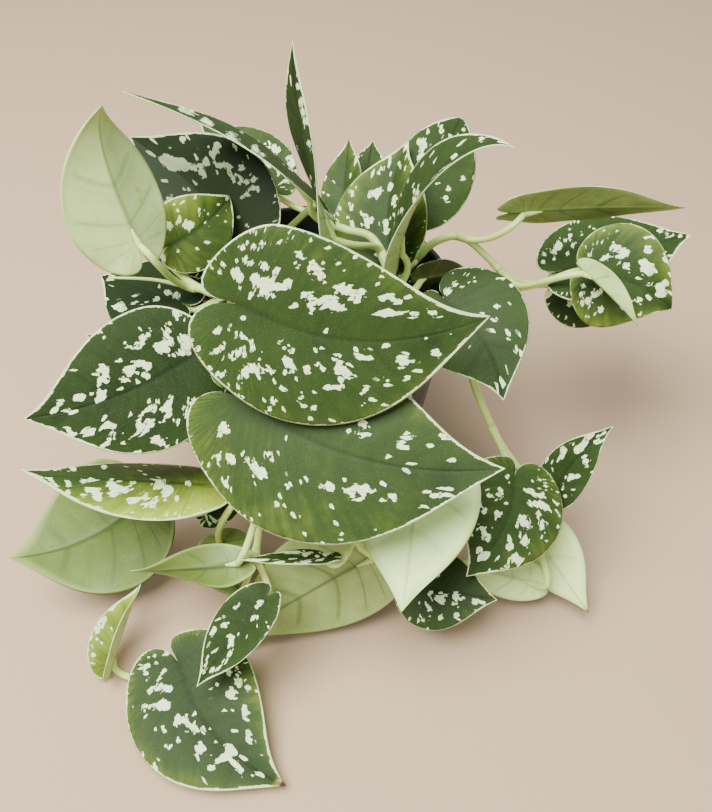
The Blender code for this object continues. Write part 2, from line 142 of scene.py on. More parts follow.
# A leaf runs from base, where its petiole holds it, to tip, and hangs on its vine at a fraction of the stem.
# Roll turns the blade about that line, 0 with the upper side up and 180 with the underside up. Width is
# across both halves over the length. Fold lifts both halves about the midrib, arch bends the blade down
# along its length, hook bends the last of it more, twist turns the tip about the midrib, all in degrees,
# and sway bows the midrib to the left, in leaf lengths.
Leaf = namedtuple(
    "Leaf", "vine at base tip roll width fold arch hook twist sway", defaults=(8, 10, 0, 0, 0.0)
)
LEAVES = {
    "top_heart": Leaf("crown", 0.6, (-22, -56, 151), (67, -61, 150), 58, 0.74, 7, 10, 0, 0, -0.12),
    "front_heart": Leaf("left_front", 0.25, (-24, -66, 114), (73, -97, 110), 39, 0.72, 2, 22, -20, 0, -0.10),
    "left_heart": Leaf("left_front", 0.15, (-43, -51, 120), (-105, -72, 108), -49, 0.79, 6, 12, 0, 0, 0.06),
    "left_fold": Leaf("left_front", 0.93, (-43, -73, 68), (-114, -74, 80), 23, 0.61, -6, 12, -20, 0, 0.03),
    "left_pale": Leaf("left_front", 0.98, (-76, -61, 38), (-127, -89, 38), 143, 0.98, 6, 15, 0, 0, -0.09),
    "left_under": Leaf("left_front", 0.6, (-64, -41, 100), (-92, -24, 107), -30, 0.60),
    "left_tip": Leaf("left_front", 0.7, (-80, -50, 89), (-104, -43, 98), -33, 0.50),
    "floor_young": Leaf("front", 0.98, (-84, -123, 7), (-73, -93, 24), -28, 0.75, 56, 10),
    "floor_heart": Leaf("front", 0.8, (-54, -125, 16), (-7, -171, 5), 10, 0.80, 8, 12, 0, 0, -0.11),
    "floor_narrow": Leaf("front", 0.65, (-17, -113, 44), (-43, -140, 25), -5, 0.58, 25, 15),
    "front_curl": Leaf("front", 0.5, (-27, -100, 51), (-74, -97, 41), 160, 0.38, 12, 15, 0, -100),
    "front_pale": Leaf("front_right", 0.97, (28, -93, 46), (-35, -113, 9), 114, 0.70, 6, 15),
    "front_edge": Leaf("front_right", 0.9, (9, -105.6, 65.2), (-26, -105.6, 63.4), 36, 0.42, 4, 4),
    "front_small": Leaf("left_front", 0.88, (-44, -75.5, 48.5), (-25, -65, 53), 35, 0.60, 5, 10),
    "front_shade": Leaf("front", 0.4, (-40, -77, 32), (-30, -95, 10), -173, 0.90, 5, 10),
    "right_pale": Leaf("front_right", 0.35, (46, -73, 87), (37, -126, 59), -176, 0.80, 6, 20),
    "right_floor": Leaf("front_low", 0.97, (43, -95, 26), (79, -105, 31), 31, 0.90, 5, 6),
    "right_under": Leaf("right_front", 0.97, (99, -89, 17), (60, -85, 28), 132, 0.50, 8, 10),
    "right_spotted": Leaf("right_front", 0.8, (86, -67, 66), (65, -101, 43), -26, 1.0, 8, 20, 0, 0, 0.10),
    "right_low": Leaf("right_front", 0.9, (96, -68, 32), (122, -100, 11), -135, 0.64, 8, 14),
    "right_up": Leaf("right_front", 0.7, (104, -67, 52), (126, -54, 83), 32, 0.50, 8, 12, 0, 0, 0.07),
    "right_dark": Leaf("right_front", 0.2, (55, -24, 126), (77, -61, 106), 24, 0.95, 4, 22, 0, 0, 0.10),
    "right_small": Leaf("back", 0.12, (46, -7, 122), (69, -3, 122), -66, 1.0, 16, 10),
    "back_curl": Leaf("back", 0.15, (37, -6, 134), (77, -10, 184), -4, 0.62, 20, 45, 70),
    "back_bright": Leaf("back_right", 0.4, (35, 6, 121), (43, 53, 150), -27, 0.92, 28, 12, 0, 0, 0.08),
    "back_round": Leaf("right_back", 0.2, (47, 36, 127), (68, 76, 147), 20, 0.73, 5, 20, 70),
    "tall_edge": Leaf("back", 0.3, (10, -13, 146), (-1, -3, 220), -140, 0.44, 8, 14, 5, 45),
    "back_edge": Leaf("back", 0.6, (2, 18, 144), (-69, 22, 189), 22, 0.38, 10, 30),
    "back_grey": Leaf("back", 0.97, (-18, 53, 125), (-52, 79, 143), -28, 0.82, 6, 15),
    "back_cup": Leaf("back", 0.75, (-29, 8, 129), (-76, 43, 158), -39, 0.89, 14, -5, 0, 0, -0.05),
    "back_slim": Leaf("right_back", 0.15, (14, 36, 124), (17, 67, 143), -26, 0.60, 18, 10),
    "back_far": Leaf("right_back", 0.25, (24, 56, 120), (28, 80, 134), 4, 0.80, 6, 0),
    "pale_upright": Leaf(
        "left_back", 0.55, (-62, -23, 151), (-65, -16, 204), -155, 0.80, 20, 12, 60, 0, -0.02,
    ),
    "bright_young": Leaf("left_back", 0.45, (-55, -6, 138), (-33, 20, 144), 48, 0.88, 8, 12, 60, 0, -0.06),
    "left_shade": Leaf("left_back", 0.35, (-53, -13, 114), (-93, 12, 108), -11, 0.92, 5, 10),
    "far_pale": Leaf("right_back", 0.6, (92, 26, 132), (161, 23, 136), -64, 0.43, 12, 8),
    "far_dark": Leaf("right_back", 0.85, (115, 25, 101), (175, 39, 110), 10, 0.80, 6, 10),
    "far_round": Leaf("right_back", 0.97, (120, 6, 115), (155, -8, 106), 56, 1.15, 4, 10, 60, 0, 0.09),
    "far_young": Leaf("right_back", 0.93, (116, -2, 122), (136, -28, 113), -67, 0.50, 55, 10),
    "far_low": Leaf("right_back", 0.9, (117, 31, 86), (154, 23, 85), 51, 0.95, 3, 0),
}

# The leaves that have just opened, and how much wider their silver rim is.
YOUNG_LEAVES = {"left_fold", "floor_young", "bright_young"}
YOUNG_RIM = 1.6

# Leaves from this length on, in millimetres, get the finer grid of rows and columns and more side veins.
LARGE_LEAF = 60.0
LARGE_GRID, SMALL_GRID = (104, 30), (64, 18)

# The shape of every blade, in leaf lengths from its base to its tip.
LOBE_RADIUS = 0.20
LOBE_TURN = 0.2
TIP_SHARPNESS = 40
TIP_SHARE = 0.14
WIDTH_OF_PLAIN_OUTLINE = 0.69
NOTCH_START = 0.03
MIDRIB_START = 0.38
VEIN_CURVE = 1.4
FOLD_SOFTNESS = 0.04
CUPPING = 0.25
SWAY_TURN = 0.6
SWAY_FADE = 0.06
TIP_CROWDING = 1.4

# How bright the green of each leaf's upper side is, from 0 for dark to 1 for a leaf just opened; below 0 the
# leaf and its silver are darkened as painted deep shade.
PLAIN_TONE = 0.40
TONES = {
    "top_heart": 0.42, "front_heart": 0.46, "left_heart": 0.13, "left_fold": 0.56, "floor_young": 0.80,
    "bright_young": 0.62, "floor_heart": 0.35, "floor_narrow": 0.30, "back_cup": -0.20, "left_shade": -0.06,
    "back_bright": 0.47, "back_round": 0.40, "back_curl": 0.42, "tall_edge": 0.30, "far_round": 0.50,
    "far_dark": 0.34, "far_low": 0.40, "far_young": 0.70, "right_up": 0.36, "right_floor": 0.34,
    "left_under": 0.70, "left_tip": 0.45, "right_pale": 0.55, "right_low": 0.60, "pale_upright": 0.50,
    "back_slim": 0.62, "right_spotted": 0.47,
}

# How much the tone of a leaf grows towards its tip and towards its left margin, per leaf length.
TONE_SLOPES = {
    "left_fold": (-0.35, 0.75), "front_heart": (-0.10, 0.0), "bright_young": (-0.25, 0.35),
    "floor_young": (0.2, 0.0),
}

# How much brighter the margin is than the midrib.
PLAIN_MARGIN_TONE = 0.14
MARGIN_TONES = {"floor_heart": 0.42, "back_bright": 0.30, "far_round": 0.30}

# How pale the underside of each leaf is, from 0 for green to 1 for nearly white; below 0 it turns dark as
# painted shade.
PLAIN_PALENESS = 0.5
PALENESS = {
    "left_pale": 0.0, "far_pale": 0.15, "pale_upright": 0.75, "right_pale": 1.0, "right_low": 1.0,
    "right_under": 0.9, "right_small": -1.0, "front_pale": 0.3, "front_shade": 0.1, "front_curl": 0.0,
    "floor_young": 0.75,
}

# Leaves whose tip has dried brown, by how far the brown reaches in leaf lengths.
BROWN_TIPS = {
    "floor_heart": 0.09, "right_pale": 0.03, "top_heart": 0.012, "back_slim": 0.05, "right_low": 0.10,
}

# Each window is a square of the photograph, by its corner and its side in pixels, that was enlarged to
# WINDOW_PIXELS to read the places of the splashes.
WINDOW_PIXELS = 1568
WINDOWS = {
    "middle": (180, 220, 340), "left": (0, 240, 240), "floor": (60, 580, 240), "right": (440, 380, 260),
    "back": (350, 100, 180), "far": (500, 170, 212), "upper_left": (60, 60, 200), "low_left": (0, 430, 220),
    "low_right": (340, 400, 240), "upper": (60, 60, 340),
}

# The silver splashes that show in the photograph: round spots that run together, each by its centre and
# its radius in its window. SPOT_FALL is how fast a spot falls off: its value is about a half at its edge.
SPOT_FALL = 0.7
Splashes = namedtuple("Splashes", "window spots")
SPLASHES = {
    "top_heart": Splashes("middle", [
        (285, 128, 13), (340, 118, 12), (375, 117, 13), (460, 103, 9), (540, 150, 15), (570, 175, 14),
        (605, 195, 17), (630, 235, 25), (648, 258, 16), (545, 208, 13), (300, 180, 11), (320, 195, 15),
        (335, 208, 10), (380, 212, 17), (402, 218, 9), (195, 200, 12), (208, 208, 8), (185, 240, 10),
        (262, 190, 8), (262, 245, 23), (275, 270, 18), (280, 312, 9), (150, 220, 6), (450, 230, 20),
        (440, 252, 13), (345, 270, 22), (370, 290, 30), (400, 300, 30), (385, 335, 27), (430, 300, 24),
        (470, 302, 19), (500, 285, 14), (490, 312, 11), (330, 342, 12), (320, 358, 9), (425, 352, 10),
        (685, 128, 12), (725, 200, 10), (760, 222, 8), (740, 312, 14), (770, 325, 17), (800, 335, 18),
        (835, 330, 17), (820, 362, 18), (855, 355, 10), (575, 347, 14), (602, 345, 10), (620, 385, 24),
        (655, 370, 26), (690, 350, 18), (700, 385, 28), (735, 395, 20), (752, 410, 9), (615, 426, 11),
        (510, 405, 12), (535, 394, 12), (940, 350, 18), (975, 357, 22), (1005, 370, 17), (870, 436, 9),
        (915, 430, 14), (945, 425, 18), (980, 430, 14), (1020, 430, 10), (1060, 426, 12), (1090, 432, 12),
        (1145, 415, 14), (1175, 430, 14), (1197, 440, 8), (293, 452, 12), (170, 512, 16), (184, 498, 10),
        (232, 485, 8), (225, 505, 8), (265, 520, 12), (285, 535, 14), (305, 545, 12), (330, 560, 14),
        (337, 590, 12), (260, 545, 8), (207, 565, 9), (195, 590, 16), (165, 605, 13), (143, 612, 8),
        (285, 600, 16), (265, 620, 18), (235, 630, 16), (300, 620, 12), (90, 595, 11), (375, 600, 7),
        (370, 640, 6), (300, 700, 22), (285, 737, 12), (330, 685, 22), (362, 690, 20), (395, 690, 17),
        (415, 702, 13), (440, 700, 10), (360, 727, 9), (135, 680, 10), (160, 740, 14), (185, 717, 14),
        (212, 710, 10), (245, 705, 6), (200, 795, 8), (226, 802, 12), (278, 818, 10), (295, 870, 8),
        (465, 560, 10), (485, 585, 12), (510, 602, 11), (485, 640, 12), (502, 660, 14), (520, 688, 12),
        (480, 702, 8), (500, 716, 10), (530, 736, 6), (587, 680, 14), (597, 702, 12), (640, 670, 12),
        (655, 690, 10), (620, 597, 10), (480, 770, 14), (560, 820, 17), (570, 852, 8), (435, 830, 12),
        (420, 855, 10), (410, 880, 10), (617, 865, 12), (598, 882, 8), (600, 908, 10), (715, 635, 17),
        (735, 657, 16), (730, 690, 24), (755, 690, 16), (745, 735, 18), (740, 765, 17), (790, 712, 14),
        (815, 716, 7), (680, 778, 16), (710, 775, 9), (800, 630, 12), (835, 640, 18), (870, 640, 12),
        (870, 602, 10), (950, 583, 13), (1025, 650, 23), (1037, 664, 14), (955, 740, 14), (975, 740, 9),
        (855, 780, 14), (835, 797, 10), (882, 780, 8), (845, 850, 10), (1180, 608, 17), (1192, 632, 9),
        (1130, 547, 8), (1247, 527, 7), (370, 930, 6), (415, 930, 8),
    ]),
    "front_heart": Splashes("middle", [
        (200, 955, 23), (185, 990, 14), (215, 972, 16), (178, 1095, 17), (180, 1125, 12), (235, 1095, 20),
        (240, 1122, 12), (290, 1075, 10), (300, 1100, 12), (325, 1105, 14), (345, 1130, 20),
        (370, 1152, 27), (375, 1187, 21), (395, 1180, 14), (408, 1080, 17), (422, 1102, 9), (205, 1205, 10),
        (215, 1227, 8), (250, 1290, 6), (490, 1230, 10), (522, 1205, 6), (447, 1308, 10), (500, 1308, 8),
        (515, 1335, 7), (535, 1366, 13), (650, 1230, 14), (690, 1225, 15), (705, 1247, 8), (765, 1250, 19),
        (800, 1240, 22), (790, 1272, 21), (840, 1245, 22), (862, 1230, 16), (892, 1250, 12), (832, 1290, 9),
        (975, 1278, 18), (992, 1292, 10), (840, 940, 20), (850, 975, 20), (832, 996, 10), (1040, 1000, 20),
        (1008, 975, 10), (1062, 990, 12), (1008, 1042, 13), (1045, 1056, 11), (1170, 1270, 20),
        (1202, 1256, 16), (1238, 1248, 11), (1138, 1296, 7), (1250, 1110, 12), (1170, 1105, 6),
        (1170, 1390, 6),
    ]),
    "left_heart": Splashes("left", [
        (1160, 490, 24), (1155, 465, 16), (1250, 487, 20), (1245, 470, 14), (1315, 460, 18),
        (1110, 548, 15), (1095, 590, 22), (1085, 622, 13), (1040, 700, 32), (1070, 690, 34),
        (1110, 665, 29), (1092, 722, 17), (1020, 692, 14), (1190, 640, 28), (1222, 662, 34),
        (1240, 638, 22), (1215, 702, 26), (1180, 737, 23), (1140, 750, 15), (1105, 755, 11),
        (1232, 740, 15), (985, 590, 12), (965, 620, 22), (930, 640, 18), (925, 668, 18), (900, 697, 19),
        (870, 706, 11), (825, 685, 16), (660, 840, 20), (685, 855, 24), (692, 890, 29), (660, 912, 23),
        (648, 942, 19), (940, 800, 29), (962, 830, 23), (900, 815, 27), (860, 845, 30), (820, 850, 24),
        (850, 882, 26), (820, 912, 23), (790, 932, 13), (942, 880, 17), (965, 897, 13), (780, 790, 12),
        (500, 1030, 22), (540, 1020, 23), (530, 1042, 15), (600, 1000, 15), (650, 990, 20), (692, 980, 17),
        (665, 1020, 22), (635, 1045, 16), (390, 1070, 16), (370, 1100, 15), (345, 1120, 17), (330, 1136, 9),
        (442, 1116, 15), (415, 1120, 9), (735, 1125, 16), (985, 1090, 28), (1002, 1110, 19),
        (950, 1120, 21), (925, 1136, 13), (1116, 1020, 15), (1105, 1060, 21), (1090, 1100, 27),
        (1112, 1130, 19), (1080, 1150, 17), (1055, 1176, 13), (1245, 1070, 24), (1215, 1100, 20),
        (1220, 1137, 17), (1282, 1062, 13), (1160, 1180, 16), (905, 1180, 19), (915, 1215, 24),
        (930, 1245, 21), (890, 1267, 19), (865, 1287, 11), (980, 1192, 19), (1005, 1180, 17),
        (965, 1225, 17), (450, 1240, 23), (462, 1260, 19), (482, 1270, 16), (430, 1225, 11),
        (580, 1255, 24), (560, 1276, 13), (602, 1240, 13), (705, 1205, 28), (737, 1215, 19),
        (670, 1227, 16), (735, 1270, 17), (717, 1300, 23), (700, 1330, 15), (670, 1347, 13),
        (1030, 1305, 23), (1062, 1325, 23), (1092, 1346, 16), (1000, 1300, 13), (800, 1327, 12),
        (820, 1250, 9), (765, 1395, 13), (905, 1385, 11), (770, 1435, 11), (500, 1385, 13), (365, 1340, 11),
        (345, 1265, 8), (1185, 1305, 9),
    ]),
    "left_shade": Splashes("left", [
        (790, 440, 26), (870, 420, 14), (930, 430, 10), (1030, 390, 15), (1150, 365, 26), (1100, 350, 14),
        (680, 220, 15), (655, 235, 10),
    ]),
    "bright_young": Splashes("upper_left", [
        (850, 1305, 30), (930, 1255, 18), (1012, 1290, 34), (998, 1312, 28), (1130, 1180, 15),
        (1110, 1220, 18), (1160, 1205, 14), (1140, 1275, 18), (1160, 1310, 18), (1240, 1135, 16),
        (1250, 1200, 12), (1300, 1185, 8), (1295, 1270, 8), (1280, 1305, 8), (760, 1480, 26),
        (800, 1555, 30), (715, 1530, 12), (990, 1360, 8), (1060, 1310, 10), (925, 1500, 12),
    ]),
    "back_cup": Splashes("upper_left", [
        (965, 620, 26), (860, 690, 13), (830, 775, 44), (900, 800, 44), (960, 795, 46), (880, 842, 28),
        (1000, 845, 36), (1045, 840, 28), (1098, 835, 32), (1120, 880, 28), (1132, 912, 13),
        (1150, 800, 22), (1200, 730, 28), (1215, 700, 22), (1232, 670, 24), (1180, 680, 16),
        (1262, 665, 14), (1100, 695, 12), (1200, 800, 18), (1240, 830, 18), (1300, 830, 28),
        (1330, 852, 24), (1332, 890, 24), (1370, 920, 26), (1420, 940, 26), (1470, 960, 28),
        (1520, 930, 22), (1500, 1002, 24), (1540, 1012, 22), (1480, 1060, 24), (1440, 1072, 15),
        (1425, 835, 30), (1205, 895, 15), (1345, 1000, 11), (980, 1015, 20), (872, 1085, 32),
        (840, 1112, 18), (1400, 1235, 16), (1470, 1300, 18),
    ]),
    "left_fold": Splashes("low_left", [
        (400, 280, 16), (520, 288, 18), (740, 270, 16), (360, 355, 19), (377, 380, 13), (400, 400, 12),
        (480, 370, 19), (492, 395, 15), (485, 450, 16), (590, 365, 19), (640, 360, 17), (690, 355, 11),
        (640, 430, 23), (670, 425, 25), (692, 460, 29), (700, 490, 19), (660, 550, 15), (690, 570, 23),
        (730, 580, 19), (790, 375, 25), (800, 410, 32), (830, 400, 28), (800, 450, 25), (870, 430, 25),
        (900, 435, 23), (922, 400, 13), (950, 380, 14), (920, 490, 13), (945, 520, 25), (975, 500, 19),
        (1010, 470, 19), (1040, 490, 17), (1110, 490, 21), (1100, 520, 21), (1095, 547, 14),
        (1030, 540, 15), (1065, 520, 13), (1130, 370, 23), (1120, 410, 23), (1155, 390, 17),
        (1180, 430, 27), (1212, 430, 23), (1170, 460, 19), (1192, 470, 15), (1260, 480, 17),
        (1262, 502, 13), (1340, 385, 20), (280, 350, 12), (590, 470, 11), (940, 585, 11), (325, 290, 8),
    ]),
    "floor_young": Splashes("floor", [
        (280, 180, 27), (245, 190, 19), (340, 185, 19), (365, 160, 13), (240, 260, 19), (280, 260, 17),
        (242, 320, 25), (205, 375, 11), (215, 430, 9), (215, 490, 13), (380, 95, 10),
    ]),
    "floor_heart": Splashes("floor", [
        (700, 480, 16), (675, 495, 9), (620, 495, 11), (580, 502, 8), (630, 545, 12), (562, 570, 17),
        (580, 560, 13), (565, 607, 15), (530, 575, 11), (570, 657, 13), (685, 590, 14), (670, 612, 13),
        (655, 637, 13), (640, 657, 9), (660, 690, 22), (640, 710, 19), (600, 717, 17), (700, 710, 21),
        (725, 700, 15), (590, 737, 11), (660, 737, 9), (560, 830, 19), (590, 830, 19), (550, 860, 11),
        (615, 820, 13), (655, 820, 26), (692, 820, 27), (705, 837, 17), (680, 795, 17), (770, 920, 29),
        (800, 905, 25), (830, 925, 26), (852, 950, 25), (880, 965, 23), (902, 985, 19), (925, 1002, 12),
        (830, 992, 13), (825, 1017, 9), (680, 985, 19), (620, 975, 10), (707, 1085, 19), (770, 1055, 13),
        (795, 1080, 8), (915, 1090, 31), (905, 1110, 27), (940, 1100, 18), (925, 1145, 11),
        (1110, 1110, 32), (1132, 1120, 24), (1100, 1150, 29), (1060, 1165, 26), (1030, 1182, 20),
        (1010, 1210, 13), (987, 1230, 16), (1132, 1187, 20), (1160, 1212, 18), (1188, 1240, 14),
        (1295, 1265, 17), (1265, 1277, 11), (1320, 1277, 13), (1105, 590, 17), (1110, 615, 15),
        (1160, 620, 17), (1165, 652, 19), (1165, 682, 17), (1155, 580, 9), (1230, 707, 15), (1105, 750, 27),
        (1130, 735, 17), (1150, 740, 9), (1130, 850, 9), (1210, 840, 20), (1215, 880, 27), (1230, 915, 12),
        (1195, 815, 11), (1225, 1000, 17), (1235, 1040, 15), (1242, 1060, 9), (1315, 1130, 11),
        (1280, 1055, 7), (480, 825, 8), (1020, 1060, 8), (990, 1145, 7), (985, 975, 7),
    ]),
    "floor_narrow": Splashes("floor", [
        (1145, 187, 15), (1162, 170, 7), (1070, 237, 13), (1087, 225, 9), (1010, 245, 7), (1070, 295, 18),
        (1058, 306, 11), (1005, 320, 15), (1000, 347, 15), (990, 377, 11), (980, 410, 11), (970, 440, 9),
        (1300, 155, 19), (1285, 177, 13), (1322, 140, 9), (1270, 245, 21), (1292, 240, 11), (1250, 262, 11),
        (965, 490, 9), (960, 525, 15), (950, 560, 17), (940, 600, 9), (1000, 590, 19), (1030, 580, 11),
        (1125, 380, 13), (1120, 405, 15), (1105, 430, 11), (1175, 350, 9), (1215, 365, 9), (1250, 335, 7),
        (1110, 480, 11), (1065, 530, 9), (1180, 430, 7), (1200, 260, 6),
    ]),
    "right_spotted": Splashes("right", [
        (405, 585, 14), (415, 620, 7), (360, 660, 13), (375, 675, 13), (360, 702, 11), (340, 716, 8),
        (300, 695, 15), (330, 630, 7), (240, 750, 17), (267, 785, 17), (252, 770, 9), (345, 815, 19),
        (330, 842, 9), (305, 880, 7), (260, 900, 20), (265, 930, 22), (285, 942, 17), (295, 962, 15),
        (302, 932, 14), (245, 885, 11), (237, 1022, 17), (225, 1040, 9), (262, 1065, 21), (235, 1080, 9),
        (282, 1055, 11), (350, 1087, 15), (350, 1070, 13), (330, 1110, 7), (390, 1125, 18), (420, 1000, 25),
        (408, 1012, 17), (455, 1070, 20), (475, 1085, 15), (440, 1058, 11), (505, 850, 25), (522, 872, 23),
        (535, 892, 14), (515, 922, 9), (515, 947, 9), (505, 975, 20), (520, 970, 13), (490, 982, 10),
        (510, 665, 15), (540, 670, 17), (570, 680, 13), (587, 686, 9), (617, 695, 16), (550, 735, 18),
        (580, 745, 15), (610, 750, 19), (635, 765, 17), (600, 735, 9), (600, 810, 16), (665, 785, 11),
        (615, 880, 20), (655, 880, 9), (635, 950, 14), (600, 600, 12), (555, 608, 8), (630, 637, 11),
        (670, 665, 11), (700, 735, 13), (660, 820, 8), (585, 995, 8), (545, 1050, 8), (305, 1150, 15),
        (470, 880, 9), (545, 825, 8), (190, 930, 8),
    ]),
    "right_up": Splashes("right", [
        (865, 320, 16), (915, 330, 18), (905, 352, 11), (860, 395, 19), (830, 422, 19), (882, 382, 11),
        (960, 340, 13), (950, 370, 13), (990, 320, 9), (750, 430, 15), (730, 460, 15), (710, 485, 13),
        (800, 385, 11), (730, 410, 9), (680, 490, 7), (885, 490, 16), (795, 580, 20), (775, 602, 11),
        (830, 580, 15), (740, 655, 9), (755, 700, 11), (915, 250, 12), (745, 625, 7), (670, 575, 7),
    ]),
    "right_floor": Splashes("low_right", [
        (600, 1260, 19), (640, 1290, 28), (665, 1312, 24), (690, 1270, 18), (745, 1320, 21),
        (760, 1280, 19), (800, 1297, 13), (885, 1315, 15), (905, 1370, 11), (580, 1370, 17),
        (585, 1420, 13), (525, 1400, 13), (540, 1440, 9), (660, 1420, 15), (762, 1405, 17), (530, 1360, 9),
        (300, 1310, 11),
    ]),
    "tall_edge": Splashes("upper", [
        (1108, 120, 15), (1120, 190, 15), (1128, 240, 13), (1135, 280, 11), (1150, 385, 9), (1165, 420, 8),
        (1185, 470, 10), (1195, 490, 9), (1222, 600, 9), (1210, 690, 10), (1100, 70, 9),
    ]),
    "back_edge": Splashes("upper", [
        (565, 222, 17), (600, 240, 14), (665, 280, 14), (690, 292, 14), (790, 355, 18), (815, 372, 12),
        (900, 415, 14), (930, 440, 12), (1070, 500, 14), (1110, 520, 18), (1130, 545, 12),
    ]),
    "right_dark": Splashes("middle", [
        (1235, 330, 17), (1268, 298, 12), (1298, 308, 7), (1465, 405, 13), (1455, 452, 12), (1510, 520, 13),
        (1335, 583, 11), (1515, 600, 8), (1550, 600, 11), (1165, 290, 10),
    ]),
    "back_bright": Splashes("back", [
        (220, 815, 42), (185, 830, 25), (272, 800, 28), (15, 820, 26), (10, 930, 22), (355, 740, 21),
        (345, 772, 19), (390, 860, 23), (388, 902, 19), (120, 990, 19), (140, 1030, 25), (172, 1050, 32),
        (160, 1092, 28), (310, 1080, 23), (320, 1055, 15), (325, 1140, 21), (308, 1162, 18), (20, 1070, 24),
        (320, 585, 17), (432, 560, 15), (440, 582, 11), (385, 1000, 15), (230, 1350, 21), (365, 640, 11),
    ]),
    "back_round": Splashes("back", [
        (638, 378, 32), (630, 412, 24), (625, 500, 34), (608, 522, 23), (800, 275, 21), (782, 590, 27),
        (765, 570, 16), (945, 360, 17), (985, 685, 17), (850, 778, 25), (830, 855, 21), (870, 882, 13),
        (990, 260, 17), (1000, 775, 11), (705, 385, 13),
    ]),
    "back_curl": Splashes("back", [
        (1145, 350, 21), (1167, 345, 12), (1128, 360, 11), (912, 485, 18), (900, 505, 14), (655, 815, 17),
        (590, 800, 19), (562, 870, 17), (460, 960, 20),
    ]),
    "far_round": Splashes("far", [
        (850, 560, 23), (860, 590, 23), (890, 612, 29), (930, 605, 23), (870, 640, 11), (830, 480, 17),
        (780, 640, 23), (750, 662, 14), (810, 637, 13), (1107, 578, 23), (1090, 602, 17), (1220, 620, 19),
        (1225, 660, 23), (1232, 682, 13), (940, 710, 29), (918, 716, 18), (960, 752, 14), (1060, 690, 29),
        (1090, 712, 32), (1110, 750, 33), (1062, 780, 25), (1030, 800, 14), (1142, 740, 13),
        (1265, 775, 15), (1227, 830, 21), (1105, 837, 19), (1180, 870, 25), (1195, 902, 25),
        (1170, 922, 16), (1020, 970, 21), (910, 962, 14), (740, 1035, 19), (708, 1047, 13), (690, 930, 29),
        (650, 967, 25), (722, 918, 22), (605, 920, 19), (615, 855, 17), (600, 982, 13), (520, 910, 13),
        (520, 975, 11), (1030, 1060, 13), (690, 555, 9), (940, 460, 9), (660, 630, 13),
    ]),
    "far_dark": Splashes("far", [
        (432, 565, 25), (400, 610, 19), (330, 630, 13), (320, 682, 14), (510, 490, 13), (600, 480, 13),
        (690, 440, 13), (500, 620, 15), (540, 560, 13), (1180, 455, 23), (1230, 480, 23), (1270, 480, 14),
        (1330, 485, 12), (1350, 560, 23), (1340, 602, 18), (1390, 500, 15), (480, 522, 9), (400, 660, 11),
    ]),
}

# Softly bounded patches of a darker, fuller green, and small dried blemishes: photograph pixels and radius.
# Then how much tone a patch takes, how brown a blemish is, and how much the tones of leaves differ by chance.
DEEP_PATCHES = {
    "front_heart": [(445, 485, 20), (425, 515, 14)], "top_heart": [(415, 352, 14), (430, 345, 12)],
}
BLEMISHES = {"pale_upright": [(137, 185, 1.6), (138, 190, 2.0), (140, 196, 2.0), (141, 201, 1.5)]}
PATCH_TONE, BLEMISH_BROWN, CHANCE_TONE = 0.22, 0.6, 0.05

# The relief of a blade in millimetres: the midrib's groove above and its half width, the side veins' dip
# above and rise below, the swell between them, the least and the most wave at the margin, and how far in
# from the margin the thickness rounds off. At the notch and the tip it does so over a share of the rows.
GROOVE_DEPTH = 0.16
RIB_WIDTH = 1.15
VEIN_DIP = 0.05
VEIN_RISE = 0.07
QUILT_SWELL = 0.07
MARGIN_WAVES = (0.25, 0.5)
EDGE_ROUNDING = 0.35
END_ROUNDING = 0.012
# The side veins in relief on each half of a large and a small leaf, their half width as a share of the gap
# between two, and the millimetres from one thin dark vein of the underside to the next.
LARGE_VEINS, SMALL_VEINS = 15, 11
VEIN_WIDTH = 0.06
UNDER_VEIN_STEP = 6.5

# How much fuller a stem is than its table's radii. At a node it swells by a share of its radius, over a half
# length in millimetres. So does the thin ring, which lies RING_DROP nearer the root.
STEM_FULLNESS = 1.12
NODE_SWELLING, NODE_LENGTH = 0.22, 2.2
RING_SWELLING, RING_LENGTH, RING_DROP = 0.10, 0.55, 2.4

# Colours of the small marks.
RIM_GREEN = (0.42, 0.52, 0.20, 1.0)
FADED_TIP = (0.22, 0.19, 0.03, 1.0)
DRY_TIP = (0.05, 0.024, 0.010, 1.0)
UNDER_MARGIN = (0.40, 0.52, 0.15, 1.0)
UNDER_SHADE = (0.042, 0.07, 0.014, 1.0)
UNDER_RIB = (0.055, 0.095, 0.018, 1.0)
UNDER_VEIN = (0.075, 0.13, 0.024, 1.0)
UNDER_FADED = (0.45, 0.52, 0.07, 1.0)
UNDER_DRY = (0.16, 0.085, 0.03, 1.0)
STEM_STREAK = (0.85, 0.93, 0.50, 1.0)
RING_BROWN = (0.25, 0.22, 0.09, 1.0)
SOIL_SPECK = (0.42, 0.39, 0.34, 1.0)

# The large soft light, in metres, and the even light from all round.
KEY_PLACE, KEY_AIM, KEY_SIZE = (-0.35, -0.25, 1.15), (0.0, -0.05, 0.1), 0.9
KEY_COLOUR = (1.0, 0.985, 0.96)
SKY_COLOUR = (0.93, 0.96, 1.0, 1.0)

DRAW_SEED = 20


